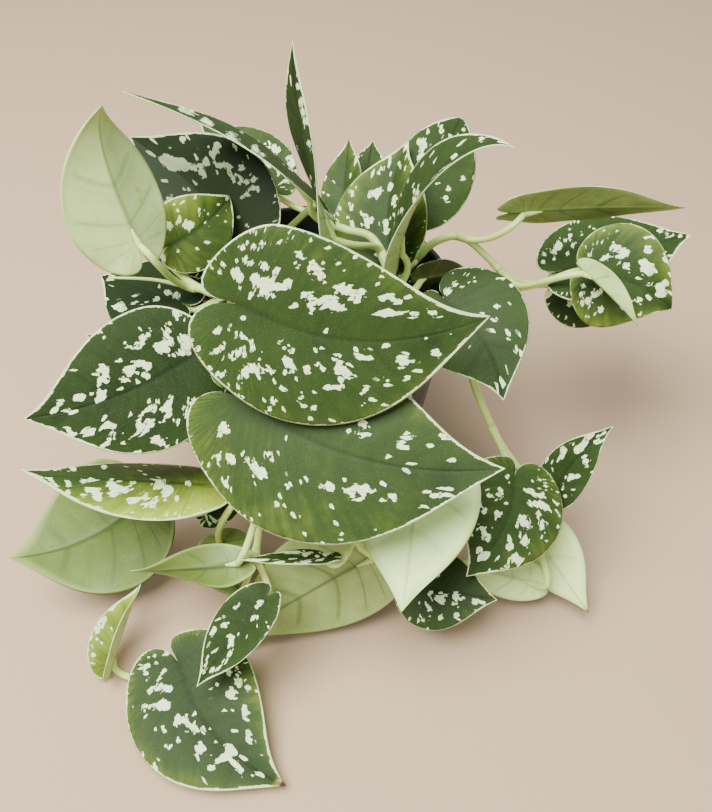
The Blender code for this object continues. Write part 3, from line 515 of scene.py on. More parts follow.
class PothosLeafSettings(bpy.types.PropertyGroup):
    thickness: bpy.props.FloatProperty(
        name="Blade thickness", description="Thickness of a blade between its veins",
        default=0.46 * MM, min=0.2 * MM, max=0.8 * MM, unit="LENGTH", precision=5,
    )
    keel: bpy.props.FloatProperty(
        name="Midrib height", description="How far the midrib stands out of the underside near the petiole",
        default=0.75 * MM, min=0.0, max=1.5 * MM, unit="LENGTH", precision=5,
    )
    rim_width: bpy.props.FloatProperty(
        name="Silver rim", description="Width of the silver margin of the upper side",
        default=0.75 * MM, min=0.0, max=3 * MM, unit="LENGTH", precision=5,
    )
    dark: bpy.props.FloatVectorProperty(
        name="Dark green", description="Green of the oldest leaves", subtype="COLOR", size=3,
        default=(0.0085, 0.0205, 0.0042), min=0.0, max=1.0,
    )
    green: bpy.props.FloatVectorProperty(
        name="Leaf green", description="Green of a grown leaf", subtype="COLOR", size=3,
        default=(0.026, 0.052, 0.0095), min=0.0, max=1.0,
    )
    bright: bpy.props.FloatVectorProperty(
        name="Young green", description="Green of a leaf just opened", subtype="COLOR", size=3,
        default=(0.33, 0.44, 0.04), min=0.0, max=1.0,
    )
    silver: bpy.props.FloatVectorProperty(
        name="Silver", description="Colour of the splashes and the rim", subtype="COLOR", size=3,
        default=(0.72, 0.87, 0.50), min=0.0, max=1.0,
    )
    under_green: bpy.props.FloatVectorProperty(
        name="Underside green", description="Underside of the greenest leaves", subtype="COLOR", size=3,
        default=(0.135, 0.205, 0.036), min=0.0, max=1.0,
    )
    under_pale: bpy.props.FloatVectorProperty(
        name="Underside pale", description="Underside of the palest leaves", subtype="COLOR", size=3,
        default=(0.72, 0.95, 0.36), min=0.0, max=1.0,
    )


class PothosPotSettings(bpy.types.PropertyGroup):
    plastic: bpy.props.FloatVectorProperty(
        name="Pot plastic", description="Colour of the nursery pot", subtype="COLOR", size=3,
        default=(0.012, 0.022, 0.018), min=0.0, max=1.0,
    )
    soil: bpy.props.FloatVectorProperty(
        name="Soil", description="Colour of the damp potting soil", subtype="COLOR", size=3,
        default=(0.022, 0.014, 0.009), min=0.0, max=1.0,
    )
    stem: bpy.props.FloatVectorProperty(
        name="Stem", description="Colour of the stems and petioles", subtype="COLOR", size=3,
        default=(0.66, 0.84, 0.22), min=0.0, max=1.0,
    )
    lumps: bpy.props.FloatProperty(
        name="Soil lumps", description="Height of the crumbs on the soil", default=1.3 * MM, min=0.0,
        max=3 * MM, unit="LENGTH", precision=5,
    )


class PothosStageSettings(bpy.types.PropertyGroup):
    floor: bpy.props.FloatVectorProperty(
        name="Floor", description="Colour of the plain floor", subtype="COLOR", size=3,
        default=(0.47, 0.335, 0.21), min=0.0, max=1.0,
    )
    floor_size: bpy.props.FloatProperty(
        name="Floor size", description="Side of the square floor", default=6.0, min=1.0, unit="LENGTH",
    )
    key_power: bpy.props.FloatProperty(
        name="Key light", description="Power of the large soft light overhead, in watts", default=44.0,
        min=0.0,
    )
    sky: bpy.props.FloatProperty(
        name="Sky", description="Strength of the even light from all round", default=0.75, min=0.0,
    )


def unit(vectors):
    """The vectors brought to a length of 1."""
    return vectors / np.maximum(np.linalg.norm(vectors, axis=-1, keepdims=True), 1e-12)


def smooth_step(low, high, value):
    """0 at low, 1 at high and smooth between; low may be the larger, which turns it round."""
    share = np.clip((value - low) / (high - low), 0, 1)
    return share * share * (3 - 2 * share)


def smooth_line(points, steps):
    """A smooth curve through the points: each span is a cubic that leaves a point along the line between
    that point's two neighbours."""
    given = np.array(points, float)
    given = np.vstack([2 * given[0] - given[1], given, 2 * given[-1] - given[-2]])
    t = np.linspace(0, 1, steps, endpoint=False)[:, None]
    spans = []
    for a, b, c, d in zip(given[:-3], given[1:-2], given[2:-1], given[3:]):
        turn = 2 * a - 5 * b + 4 * c - d
        spans.append((2 * b + (c - a) * t + turn * t**2 + (3 * b - 3 * c + d - a) * t**3) / 2)
    return np.vstack([*spans, given[-2][None]])


def on_vine(name, at):
    """The place on the stem at a fraction of its length in points, and the stem's direction there."""
    line = smooth_line(VINES[name].points, VINE_STEPS)
    k = at * (len(line) - 1)
    i = min(int(k), len(line) - 2)
    step = line[i + 1] - line[i]
    return line[i] + (k - i) * step, step / np.linalg.norm(step)


def leaf_axes(leaf):
    """The base, the length, and the directions along the leaf, to its left and out of its upper side."""
    base, tip = np.array(leaf.base, float), np.array(leaf.tip, float)
    length = np.linalg.norm(tip - base)
    along = (tip - base) / length
    face = np.array([0, 0, 1.0]) - along[2] * along
    face /= np.linalg.norm(face)
    roll = math.radians(leaf.roll)
    normal = face * math.cos(roll) + np.cross(along, face) * math.sin(roll)
    return base, length, along, np.cross(normal, along), normal


def leaf_spine(leaf):
    """The midrib bent by arch and hook: for places u along it, its run x, its rise z and its slope, turned
    and scaled so that it starts at the base and ends at the tip. The places lie a step apart, and the base
    is the one with the number start."""
    u = np.linspace(-0.5, 1, 151)
    start, step = 50, 0.01
    bend = math.radians(leaf.arch) * u + math.radians(leaf.hook) * np.maximum(u, 0) ** 5
    middle = (bend[1:] + bend[:-1]) / 2
    x = np.concatenate([[0], np.cumsum(np.cos(middle)) * step])
    z = np.concatenate([[0], np.cumsum(-np.sin(middle)) * step])
    x, z = x - x[start], z - z[start]
    tilt = math.atan2(-z[-1], x[-1])
    x, z = x * math.cos(tilt) - z * math.sin(tilt), x * math.sin(tilt) + z * math.cos(tilt)
    return u, x / x[-1], z / x[-1], bend - tilt


def flat_blade(s, t, width):
    """The flat blade: its margin is a polar curve about the base, which swings out from a small round lobe
    and is drawn out to the tip. Row s of it runs from the midrib to the margin, as a side vein does, and
    column t runs from -1 on the right margin to 1 on the left one."""
    angle = math.pi * s
    swell = (1 - TIP_SHARE) * s**3 + TIP_SHARE * s**TIP_SHARPNESS
    radius = LOBE_RADIUS * (1 - np.exp(-angle / LOBE_TURN)) + (1 - LOBE_RADIUS) * swell
    margin_x = -radius * np.cos(angle)
    margin_y = radius * np.sin(angle) * width / WIDTH_OF_PLAIN_OUTLINE
    start = (np.maximum(s - MIDRIB_START, 0) / (1 - MIDRIB_START)) ** 2 * radius
    return start + (margin_x - start) * np.abs(t) ** VEIN_CURVE, margin_y * t


def laid_blade(leaf, x, y):
    """The flat blade's points in their place: folded about the midrib, cupped, bowed, twisted and laid along
    the bent midrib. The bow fades out behind the base, and turns the lobes with the midrib."""
    base, length, along, left, normal = leaf_axes(leaf)
    fold = math.radians(leaf.fold)
    lift = (np.sqrt(y**2 + FOLD_SOFTNESS**2) - FOLD_SOFTNESS) * math.sin(fold) - CUPPING * y**2
    across = y * math.cos(fold) + leaf.sway * 4 * x * (1 - x) / (1 + np.exp(-x / SWAY_FADE))
    x = x - SWAY_TURN * leaf.sway * 4 * (1 - 2 * np.maximum(x, 0)) * y
    turn = math.radians(leaf.twist) * x
    across, lift = across * np.cos(turn) - lift * np.sin(turn), across * np.sin(turn) + lift * np.cos(turn)
    u, run, rise, slope = leaf_spine(leaf)
    angle = np.interp(x, u, slope)
    forward = np.interp(x, u, run) + lift * np.sin(angle)
    upward = np.interp(x, u, rise) + lift * np.cos(angle)
    sideways = forward[..., None] * along + across[..., None] * left
    return base + length * (sideways + upward[..., None] * normal)


def petiole_line(leaf):
    """The leaf's stalk: a cubic that leaves the stem forwards and arrives from below and behind the blade's
    base, and then a short run under the midrib, which it sinks into. It also gives the run's number of
    points."""
    base, _, along, _, normal = leaf_axes(leaf)
    u, _, _, slope = leaf_spine(leaf)
    lean = np.interp(0, u, slope)
    ahead = along * math.cos(lean) - normal * math.sin(lean)
    face = along * math.sin(lean) + normal * math.cos(lean)
    climb = math.radians(PETIOLE_RISE)
    arrive = ahead * math.cos(climb) + face * math.sin(climb)
    end = base - face * PETIOLE_RADIUS * PETIOLE_DROP
    start, way = on_vine(leaf.vine, leaf.at)
    reach = np.linalg.norm(end - start)
    leaving = start + way * reach * LEAVING_SHARE
    arriving = end - arrive * reach * ARRIVING_SHARE
    t = np.linspace(0, 1, PETIOLE_STEPS + 1)[:, None]
    first_half = (1 - t) ** 3 * start + 3 * (1 - t) ** 2 * t * leaving
    line = first_half + 3 * (1 - t) * t**2 * arriving + t**3 * end
    under = laid_blade(leaf, MERGE_RUN, 0 * MERGE_RUN) - face * PETIOLE_RADIUS * MERGE_DEPTH[:, None]
    return np.vstack([line, under]), len(under)


def photo_pixels(points):
    """Where points in millimetres show in the photograph: their offset from the camera turned by its pitch,
    over its depth, times the focal length in pixels."""
    pitch = math.radians(CAMERA_PITCH)
    offset = points - np.array(CAMERA_PLACE)
    up = offset[..., 1] * math.sin(pitch) + offset[..., 2] * math.cos(pitch)
    depth = offset[..., 1] * math.cos(pitch) - offset[..., 2] * math.sin(pitch)
    x = PHOTO_WIDTH / 2 + FOCAL_PIXELS * offset[..., 0] / depth
    y = PHOTO_HEIGHT / 2 - FOCAL_PIXELS * up / depth
    return x, y


def grid_faces(rows, columns, first=0):
    """Quads of a grid of points, as indices, row by row, wound so that rows cross columns to give the
    outward side."""
    corner = first + np.arange(rows * columns).reshape(rows, columns)
    quads = np.stack([corner[:-1, :-1], corner[1:, :-1], corner[1:, 1:], corner[:-1, 1:]], axis=-1)
    return quads.reshape(-1, 4)


def new_piece(name, points, faces, materials, values=None, charts=None, slots=None, merge=0.0005):
    """A shown piece from arrays: points in millimetres, faces as indices, a value per point for each named
    attribute, a pair per point for each named chart, and a material number per face. Points that fall
    together are merged, so the poles and seams close."""
    mesh = bpy.data.meshes.new(name)
    mesh.from_pydata((points * MM).tolist(), [], faces.tolist())
    for material in materials:
        mesh.materials.append(material)
    if slots is not None:
        mesh.polygons.foreach_set("material_index", slots.astype(np.int32))
    for key, value in (values or {}).items():
        mesh.attributes.new(key, "FLOAT", "POINT").data.foreach_set("value", value.astype(np.float32).ravel())
    corners = np.empty(len(mesh.loops), np.int32)
    mesh.loops.foreach_get("vertex_index", corners)
    for key, chart in (charts or {}).items():
        flat = chart.reshape(-1, 2)[corners].astype(np.float32)
        mesh.uv_layers.new(name=key).data.foreach_set("uv", flat.ravel())
    shell = bmesh.new()
    shell.from_mesh(mesh)
    bmesh.ops.remove_doubles(shell, verts=shell.verts, dist=merge * MM)
    shell.to_mesh(mesh)
    shell.free()
    mesh.shade_smooth()
    piece = bpy.data.objects.new(name, mesh)
    bpy.context.scene.collection.objects.link(piece)
    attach(piece, "root")
    return piece


def frames_along(line):
    """Two directions square to a line at each of its points: the line's own flattest plane gives the first,
    so neither spins along the way."""
    way = unit(np.gradient(line, axis=0))
    flat = np.linalg.svd(way - way.mean(0))[2][-1]
    side = unit(np.cross(way, flat))
    return side, np.cross(way, side)


def tube(line, radii, sides=20, groove=0.0):
    """A round rod as a grid: rows along the line, columns round it, with rounded ends whose radius falls to
    nothing as a quarter circle. A groove is a smooth dip of the radius along the side that faces up."""
    reach = np.linspace(1, 0, CAP_ROWS + 1)[:-1, None]
    caps = np.sqrt(1 - reach[:, 0] ** 2)
    way = unit(np.gradient(line, axis=0))
    head = line[0] - way[0] * radii[0] * reach
    foot = (line[-1] + way[-1] * radii[-1] * reach)[::-1]
    points = np.vstack([head, line, foot])
    sizes = np.concatenate([radii[0] * caps, radii, (radii[-1] * caps)[::-1]])
    ends = ((CAP_ROWS, CAP_ROWS), (0, 0))
    side, top = [np.pad(values, ends, mode="edge") for values in frames_along(line)]
    turn = np.linspace(0, 2 * math.pi, sides + 1)
    up = side[:, 2:3] * np.cos(turn) + top[:, 2:3] * np.sin(turn)
    dip = 1 - groove * np.exp(-(((up - 1) / GROOVE_SPREAD) ** 2))
    ring = side[:, None] * np.cos(turn)[None, :, None] + top[:, None] * np.sin(turn)[None, :, None]
    return points[:, None] + ring * (sizes[:, None] * dip)[..., None]


def even_noise(x, y, seed, size):
    """A smooth random height from -1 to 1 that changes over about one size: a sum of waves with random
    directions and phases."""
    draw = np.random.default_rng(seed)
    count = 9
    turn = draw.uniform(0, 2 * math.pi, count)
    phase = draw.uniform(0, 2 * math.pi, count)
    pace = draw.uniform(0.6, 1.5, count) / size
    waves = np.sin(
        (x[..., None] * np.cos(turn) + y[..., None] * np.sin(turn)) * pace * 2 * math.pi + phase
    )
    return waves.sum(-1) / (count / 2)


def add_node(tree, kind, sockets=None, **settings):
    made = tree.nodes.new(kind)
    for key, value in settings.items():
        setattr(made, key, value)
    for key, value in (sockets or {}).items():
        if isinstance(value, bpy.types.NodeSocket):
            tree.links.new(value, made.inputs[key])
        else:
            made.inputs[key].default_value = value
    return made


def calc(tree, operation, first, second=0.0):
    return add_node(tree, "ShaderNodeMath", {0: first, 1: second}, operation=operation).outputs[0]


def ramp_to(tree, value, low, high):
    """0 below low, 1 above high and smooth between; low may be the larger, which turns it round."""
    links = {0: value, 1: low, 2: high}
    return add_node(tree, "ShaderNodeMapRange", links, interpolation_type="SMOOTHSTEP").outputs[0]


def times(tree, first, second):
    return calc(tree, "MULTIPLY", first, second)


def swayed(tree, value, random, reach):
    """The value moved by a random value's distance from a half, times the reach."""
    return calc(tree, "ADD", value, times(tree, calc(tree, "SUBTRACT", random, 0.5), reach))


def blend(tree, share, first, second):
    links = {0: share, 6: first, 7: second}
    return add_node(tree, "ShaderNodeMix", links, data_type="RGBA", clamp_factor=True).outputs[2]


def noise(tree, place, scale, detail=2.0, roughness=0.5):
    sockets = {"Vector": place, "Scale": scale, "Detail": detail, "Roughness": roughness}
    return add_node(tree, "ShaderNodeTexNoise", sockets).outputs[0]


def cells(tree, chart, across, along):
    """A random value for each cell of a chart in centimetres, with cells of a size in millimetres across the
    veins and along them."""
    place = add_node(tree, "ShaderNodeMapping", {"Vector": chart, "Scale": (10 / across, 10 / along, 1)})
    sockets = {"Vector": place.outputs[0], "Scale": 1.0}
    found = add_node(tree, "ShaderNodeTexVoronoi", sockets, voronoi_dimensions="2D")
    return add_node(tree, "ShaderNodeSeparateColor", {0: found.outputs["Color"]}).outputs[0]


def attribute(tree, name):
    return add_node(tree, "ShaderNodeAttribute", attribute_name=name).outputs["Fac"]


def colour(values):
    return (*values, 1.0)


def new_material(name):
    material = bpy.data.materials.new(name)
    material.use_nodes = True
    tree = material.node_tree
    return material, tree, tree.nodes["Principled BSDF"]


def add_bump(tree, shader, height, strength, distance):
    links = {"Strength": strength, "Distance": distance * MM, "Height": height}
    bump = add_node(tree, "ShaderNodeBump", links)
    tree.links.new(bump.outputs[0], shader.inputs["Normal"])


def dried(tree, body, brown, faded, dry, dry_from, dry_to):
    """The body's colour, first faded and then dry and brown as the brown value grows."""
    body = blend(tree, times(tree, ramp_to(tree, brown, 0.02, 0.4), 0.7), body, faded)
    return blend(tree, ramp_to(tree, brown, dry_from, dry_to), body, dry)


def leaf_top_material(settings):
    """The satin upper side: green that brightens with tone and is streaked along the side veins, a painted
    glint of fine silver specks, and silver where the splash value, broken up by cells that lie along the veins,
    passes a half, at the margin and in small flecks. A fine grain wears the silver. Below a tone of 0 both
    darken as painted deep shade."""
    material, tree, shader = new_material("satin_leaf_top")
    chart = add_node(tree, "ShaderNodeUVMap", uv_map="veins").outputs[0]
    place = add_node(tree, "ShaderNodeTexCoord").outputs["Object"]
    names = ("tone", "rim", "splash", "brown", "vein")
    given_tone, rim, splash, brown, vein = [attribute(tree, name) for name in names]
    bare_silver = colour(settings.silver)

    # The green: tone swayed in soft patches and streaks, then duller where the leaf lies in deep shade.
    soft = noise(tree, place, 190.0, 3.0)
    sparkle = noise(tree, place, 2600.0, 1.0)
    streaks = add_node(tree, "ShaderNodeMapping", {"Vector": chart, "Scale": (7.0, 0.8, 1)}).outputs[0]
    tone = swayed(tree, given_tone, noise(tree, place, 62.0, 2.0), 0.22)
    tone = swayed(tree, tone, soft, 0.12)
    tone = swayed(tree, tone, noise(tree, streaks, 1.0, 3.0), 0.34)
    tone = calc(tree, "SUBTRACT", tone, times(tree, vein, 0.16))
    to_green = add_node(tree, "ShaderNodeMapRange", {0: tone, 1: 0.0, 2: 0.45}).outputs[0]
    to_bright = add_node(tree, "ShaderNodeMapRange", {0: tone, 1: 0.45, 2: 1.0}).outputs[0]
    green = blend(tree, to_green, colour(settings.dark), colour(settings.green))
    green = blend(tree, calc(tree, "POWER", to_bright, 1.7), green, colour(settings.bright))
    # A painted glint: fine specks of silver colour scattered over the green.
    green = blend(tree, times(tree, ramp_to(tree, sparkle, 0.55, 0.75), 0.035), green, bare_silver)
    # Painted shade: below a tone of about 0 the green, and further on the silver, darken towards a shade green.
    shade = ramp_to(tree, given_tone, 0.05, -0.35)
    deep = [value * share for value, share in zip(settings.dark, (0.75, 0.75, 0.2))]
    shaded = blend(tree, shade, green, colour(deep))

    # Where the silver lies: splashes and margin with ragged edges, and flecks, more of them near both.
    large, small = cells(tree, chart, 1.2, 2.8), cells(tree, chart, 0.5, 1.1)
    broken = swayed(tree, swayed(tree, splash, large, 0.56), small, 0.24)
    ragged = swayed(tree, swayed(tree, rim, large, 0.56), small, 0.24)
    spots = ramp_to(tree, broken, 0.505, 0.555)
    margin = ramp_to(tree, ragged, 1.04, 0.96)
    near_margin = times(tree, ramp_to(tree, rim, 9.0, 1.0), 0.03)
    near_splash = calc(tree, "MINIMUM", times(tree, splash, 0.16), 0.07)
    chance = calc(tree, "ADD", calc(tree, "ADD", cells(tree, chart, 0.5, 1.5), near_margin), near_splash)
    flecks = ramp_to(tree, chance, 0.985, 0.99)
    silver_share = calc(tree, "MAXIMUM", calc(tree, "MAXIMUM", spots, margin), flecks)

    # The silver itself: worn by a grain, dull in shade, greener at the margin.
    grain = calc(tree, "ADD", times(tree, noise(tree, place, 1300.0, 2.0), 0.6), times(tree, soft, 0.4))
    worn = times(tree, ramp_to(tree, grain, 0.50, 0.70), 0.45)
    silver = blend(tree, worn, bare_silver, shaded)
    silver = blend(tree, times(tree, shade, 0.85), silver, shaded)
    silver = blend(tree, times(tree, margin, 0.35), silver, RIM_GREEN)
    painted = blend(tree, silver_share, shaded, silver)
    painted = dried(tree, painted, brown, FADED_TIP, DRY_TIP, 0.55, 0.8)
    tree.links.new(painted, shader.inputs["Base Color"])
    rough = add_node(tree, "ShaderNodeMapRange", {0: silver_share, 3: 0.55, 4: 0.65}).outputs[0]
    tree.links.new(rough, shader.inputs["Roughness"])
    shader.inputs["Specular IOR Level"].default_value = 0.12
    add_bump(tree, shader, sparkle, 0.35, 0.05)
    return material


def leaf_under_material(settings):
    """The underside: pale green by paleness with a soft mottle and a yellower margin, painted shade below a
    paleness of 0, a dark midrib, and side veins as thin dark lines, one each UNDER_VEIN_STEP along the chart,
    that fade out at the margin."""
    material, tree, shader = new_material("satin_leaf_underside")
    place = add_node(tree, "ShaderNodeTexCoord").outputs["Object"]
    pale, rim, vein, brown = [attribute(tree, name) for name in ("pale", "rim", "vein", "brown")]
    fine = noise(tree, place, 1100.0, 2.0)
    share = swayed(tree, swayed(tree, pale, noise(tree, place, 120.0, 3.0), 0.30), fine, 0.22)
    body = blend(tree, share, colour(settings.under_green), colour(settings.under_pale))
    body = blend(tree, times(tree, ramp_to(tree, rim, 5.0, 0.5), 0.55), body, UNDER_MARGIN)
    # Painted shade: below a paleness of 0 the underside darkens towards UNDER_SHADE.
    body = blend(tree, ramp_to(tree, share, 0.0, -1.0), body, UNDER_SHADE)
    strength = add_node(tree, "ShaderNodeMapRange", {0: pale, 1: 0.0, 2: 1.0, 3: 0.95, 4: 0.24}).outputs[0]
    body = blend(tree, times(tree, vein, strength), body, UNDER_RIB)

    # The thin side veins: a crisp line and a soft band, once each step along the chart, in centimetres.
    chart = add_node(tree, "ShaderNodeUVMap", uv_map="veins").outputs[0]
    along = add_node(tree, "ShaderNodeSeparateXYZ", {0: chart}).outputs[0]
    turn = calc(tree, "FRACT", times(tree, along, 10 / UNDER_VEIN_STEP))
    off = calc(tree, "ABSOLUTE", calc(tree, "SUBTRACT", turn, 0.5))
    line = times(tree, ramp_to(tree, off, 0.09, 0.02), ramp_to(tree, rim, 3.0, 12.0))
    line = calc(tree, "ADD", line, times(tree, ramp_to(tree, off, 0.5, 0.05), 0.25))
    body = blend(tree, times(tree, line, times(tree, strength, 0.55)), body, UNDER_VEIN)
    body = dried(tree, body, brown, UNDER_FADED, UNDER_DRY, 0.5, 0.9)
    tree.links.new(body, shader.inputs["Base Color"])
    shader.inputs["Roughness"].default_value = 0.52
    shader.inputs["Specular IOR Level"].default_value = 0.38
    add_bump(tree, shader, fine, 0.25, 0.05)
    return material


def stem_material(settings):
    """Pale waxy green that is duller on old wood, streaked along its length, with brown at the rings."""
    material, tree, shader = new_material("vine_stem")
    place = add_node(tree, "ShaderNodeTexCoord").outputs["Object"]
    chart = add_node(tree, "ShaderNodeUVMap", uv_map="length").outputs[0]
    streaks = add_node(tree, "ShaderNodeMapping", {"Vector": chart, "Scale": (0.35, 9.0, 1)}).outputs[0]
    streak = noise(tree, streaks, 1.0, 2.0)
    mottle = noise(tree, place, 260.0, 3.0)
    dull = colour([value * share for value, share in zip(settings.stem, (0.42, 0.60, 0.42))])
    body = blend(tree, attribute(tree, "age"), colour(settings.stem), dull)
    body = blend(tree, times(tree, ramp_to(tree, streak, 0.35, 0.75), 0.35), body, STEM_STREAK)
    body = blend(tree, times(tree, ramp_to(tree, mottle, 0.45, 0.8), 0.25), body, dull)
    body = blend(tree, times(tree, attribute(tree, "ring"), 0.55), body, RING_BROWN)
    tree.links.new(body, shader.inputs["Base Color"])
    shader.inputs["Roughness"].default_value = 0.38
    shader.inputs["Specular IOR Level"].default_value = 0.45
    add_bump(tree, shader, streak, 0.3, 0.1)
    return material


def soil_material(settings):
    """Damp crumbs: near-black and brown by cell, with a few pale specks."""
    material, tree, shader = new_material("damp_soil")
    place = add_node(tree, "ShaderNodeTexCoord").outputs["Object"]
    crumbs = add_node(tree, "ShaderNodeTexVoronoi", {"Vector": place, "Scale": 420.0})
    hue = add_node(tree, "ShaderNodeSeparateColor", {0: crumbs.outputs["Color"]})
    brown = colour([value * share for value, share in zip(settings.soil, (3.2, 2.9, 2.4))])
    body = blend(tree, hue.outputs[0], colour(settings.soil), brown)
    body = blend(tree, ramp_to(tree, hue.outputs[1], 0.955, 0.965), body, SOIL_SPECK)
    tree.links.new(body, shader.inputs["Base Color"])
    shader.inputs["Roughness"].default_value = 0.9
    add_bump(tree, shader, crumbs.outputs["Distance"], 0.6, 0.6)
    return material


def pot_material(settings):
    """Satin moulded plastic with a faint grain, slightly paler where dust clings."""
    material, tree, shader = new_material("nursery_pot")
    place = add_node(tree, "ShaderNodeTexCoord").outputs["Object"]
    dust = noise(tree, place, 38.0, 4.0)
    pale = colour([min(1.0, value * 1.9 + 0.012) for value in settings.plastic])
    dusty = times(tree, ramp_to(tree, dust, 0.45, 0.75), 0.6)
    tree.links.new(blend(tree, dusty, colour(settings.plastic), pale), shader.inputs["Base Color"])
    rough = add_node(tree, "ShaderNodeMapRange", {0: dust, 1: 0.3, 2: 0.7, 3: 0.34, 4: 0.52}).outputs[0]
    tree.links.new(rough, shader.inputs["Roughness"])
    add_bump(tree, shader, noise(tree, place, 1400.0, 2.0), 0.25, 0.1)
    return material


def shown_splashes(name, points):
    """The splash value of each point from the spots that were read off the photograph: each spot gives a
    half on its own edge and falls off as a bell, and spots add up by their cubes, so that they run
    together."""
    window, spots = SPLASHES[name]
    left, top, side = WINDOWS[window]
    spots = np.array(spots, float) * side / WINDOW_PIXELS
    x, y = photo_pixels(points)
    dx = x[..., None] - left - spots[:, 0]
    dy = y[..., None] - top - spots[:, 1]
    bells = np.exp(-SPOT_FALL * (dx**2 + dy**2) / spots[:, 2] ** 2)
    return np.cbrt((bells**3).sum(-1))


def bells_at(spots, points):
    """One at each spot's centre and falling off as a bell of its radius, in photograph pixels."""
    x, y = photo_pixels(points)
    spots = np.array(spots, float)
    away = (x[..., None] - spots[:, 0]) ** 2 + (y[..., None] - spots[:, 1]) ** 2
    return np.exp(-away / spots[:, 2] ** 2).max(-1)


def drawn_splashes(u, v, length, draw):
    """The splash value where the photograph shows none: seeded spots on the chart of the veins, longer along
    the veins than across, in small groups."""
    groups = int(5 + length * length * 0.0045)
    reach_u, reach_v = np.abs(u).max(), np.abs(v).max()
    middle_u = draw.uniform(0.10, 0.92, groups) * reach_u
    middle_v = draw.uniform(0.16, 0.86, groups) * reach_v * draw.choice([-1, 1], groups)
    spread = draw.normal(0, 1, (groups, 4, 2)) * np.array([1.9, 2.8]) * (0.6 + length / 130)
    spot_u = (middle_u[:, None] + spread[..., 0]).ravel()
    spot_v = (middle_v[:, None] + spread[..., 1]).ravel()
    size = (draw.uniform(0.45, 1.7, (groups, 4)) * (0.5 + length / 110)).ravel()
    du = (u[..., None] - spot_u) / size
    dv = (v[..., None] - spot_v) / (size * 1.6)
    bells = np.exp(-SPOT_FALL * (du**2 + dv**2))
    return np.cbrt((bells**3).sum(-1))


def leaf_grid(large):
    """The rows and columns of a blade, closer together at the notch, the tip, the midrib and the margin."""
    rows, columns = LARGE_GRID if large else SMALL_GRID
    r = np.linspace(0, 1, rows)
    share = 0.55 * r + 0.45 * (0.5 - 0.5 * np.cos(math.pi * r))
    s = NOTCH_START + (1 - NOTCH_START) * (1 - (1 - share) ** TIP_CROWDING)
    c = np.linspace(0, 1, columns)
    half = 0.62 * c + 0.38 * (0.5 - 0.5 * np.cos(math.pi * c))
    t = np.concatenate([-half[:0:-1], half])
    return np.meshgrid(s, t, indexing="ij")


def way_along(line):
    """How far along a line each of its points lies."""
    return np.concatenate([[0], np.cumsum(np.linalg.norm(np.diff(line, axis=0), axis=1))])


def rounded(value):
    """0 at 0 and 1 from 1 on, rising as a quarter circle."""
    return np.sqrt(1 - (1 - np.clip(value, 0, 1)) ** 2)


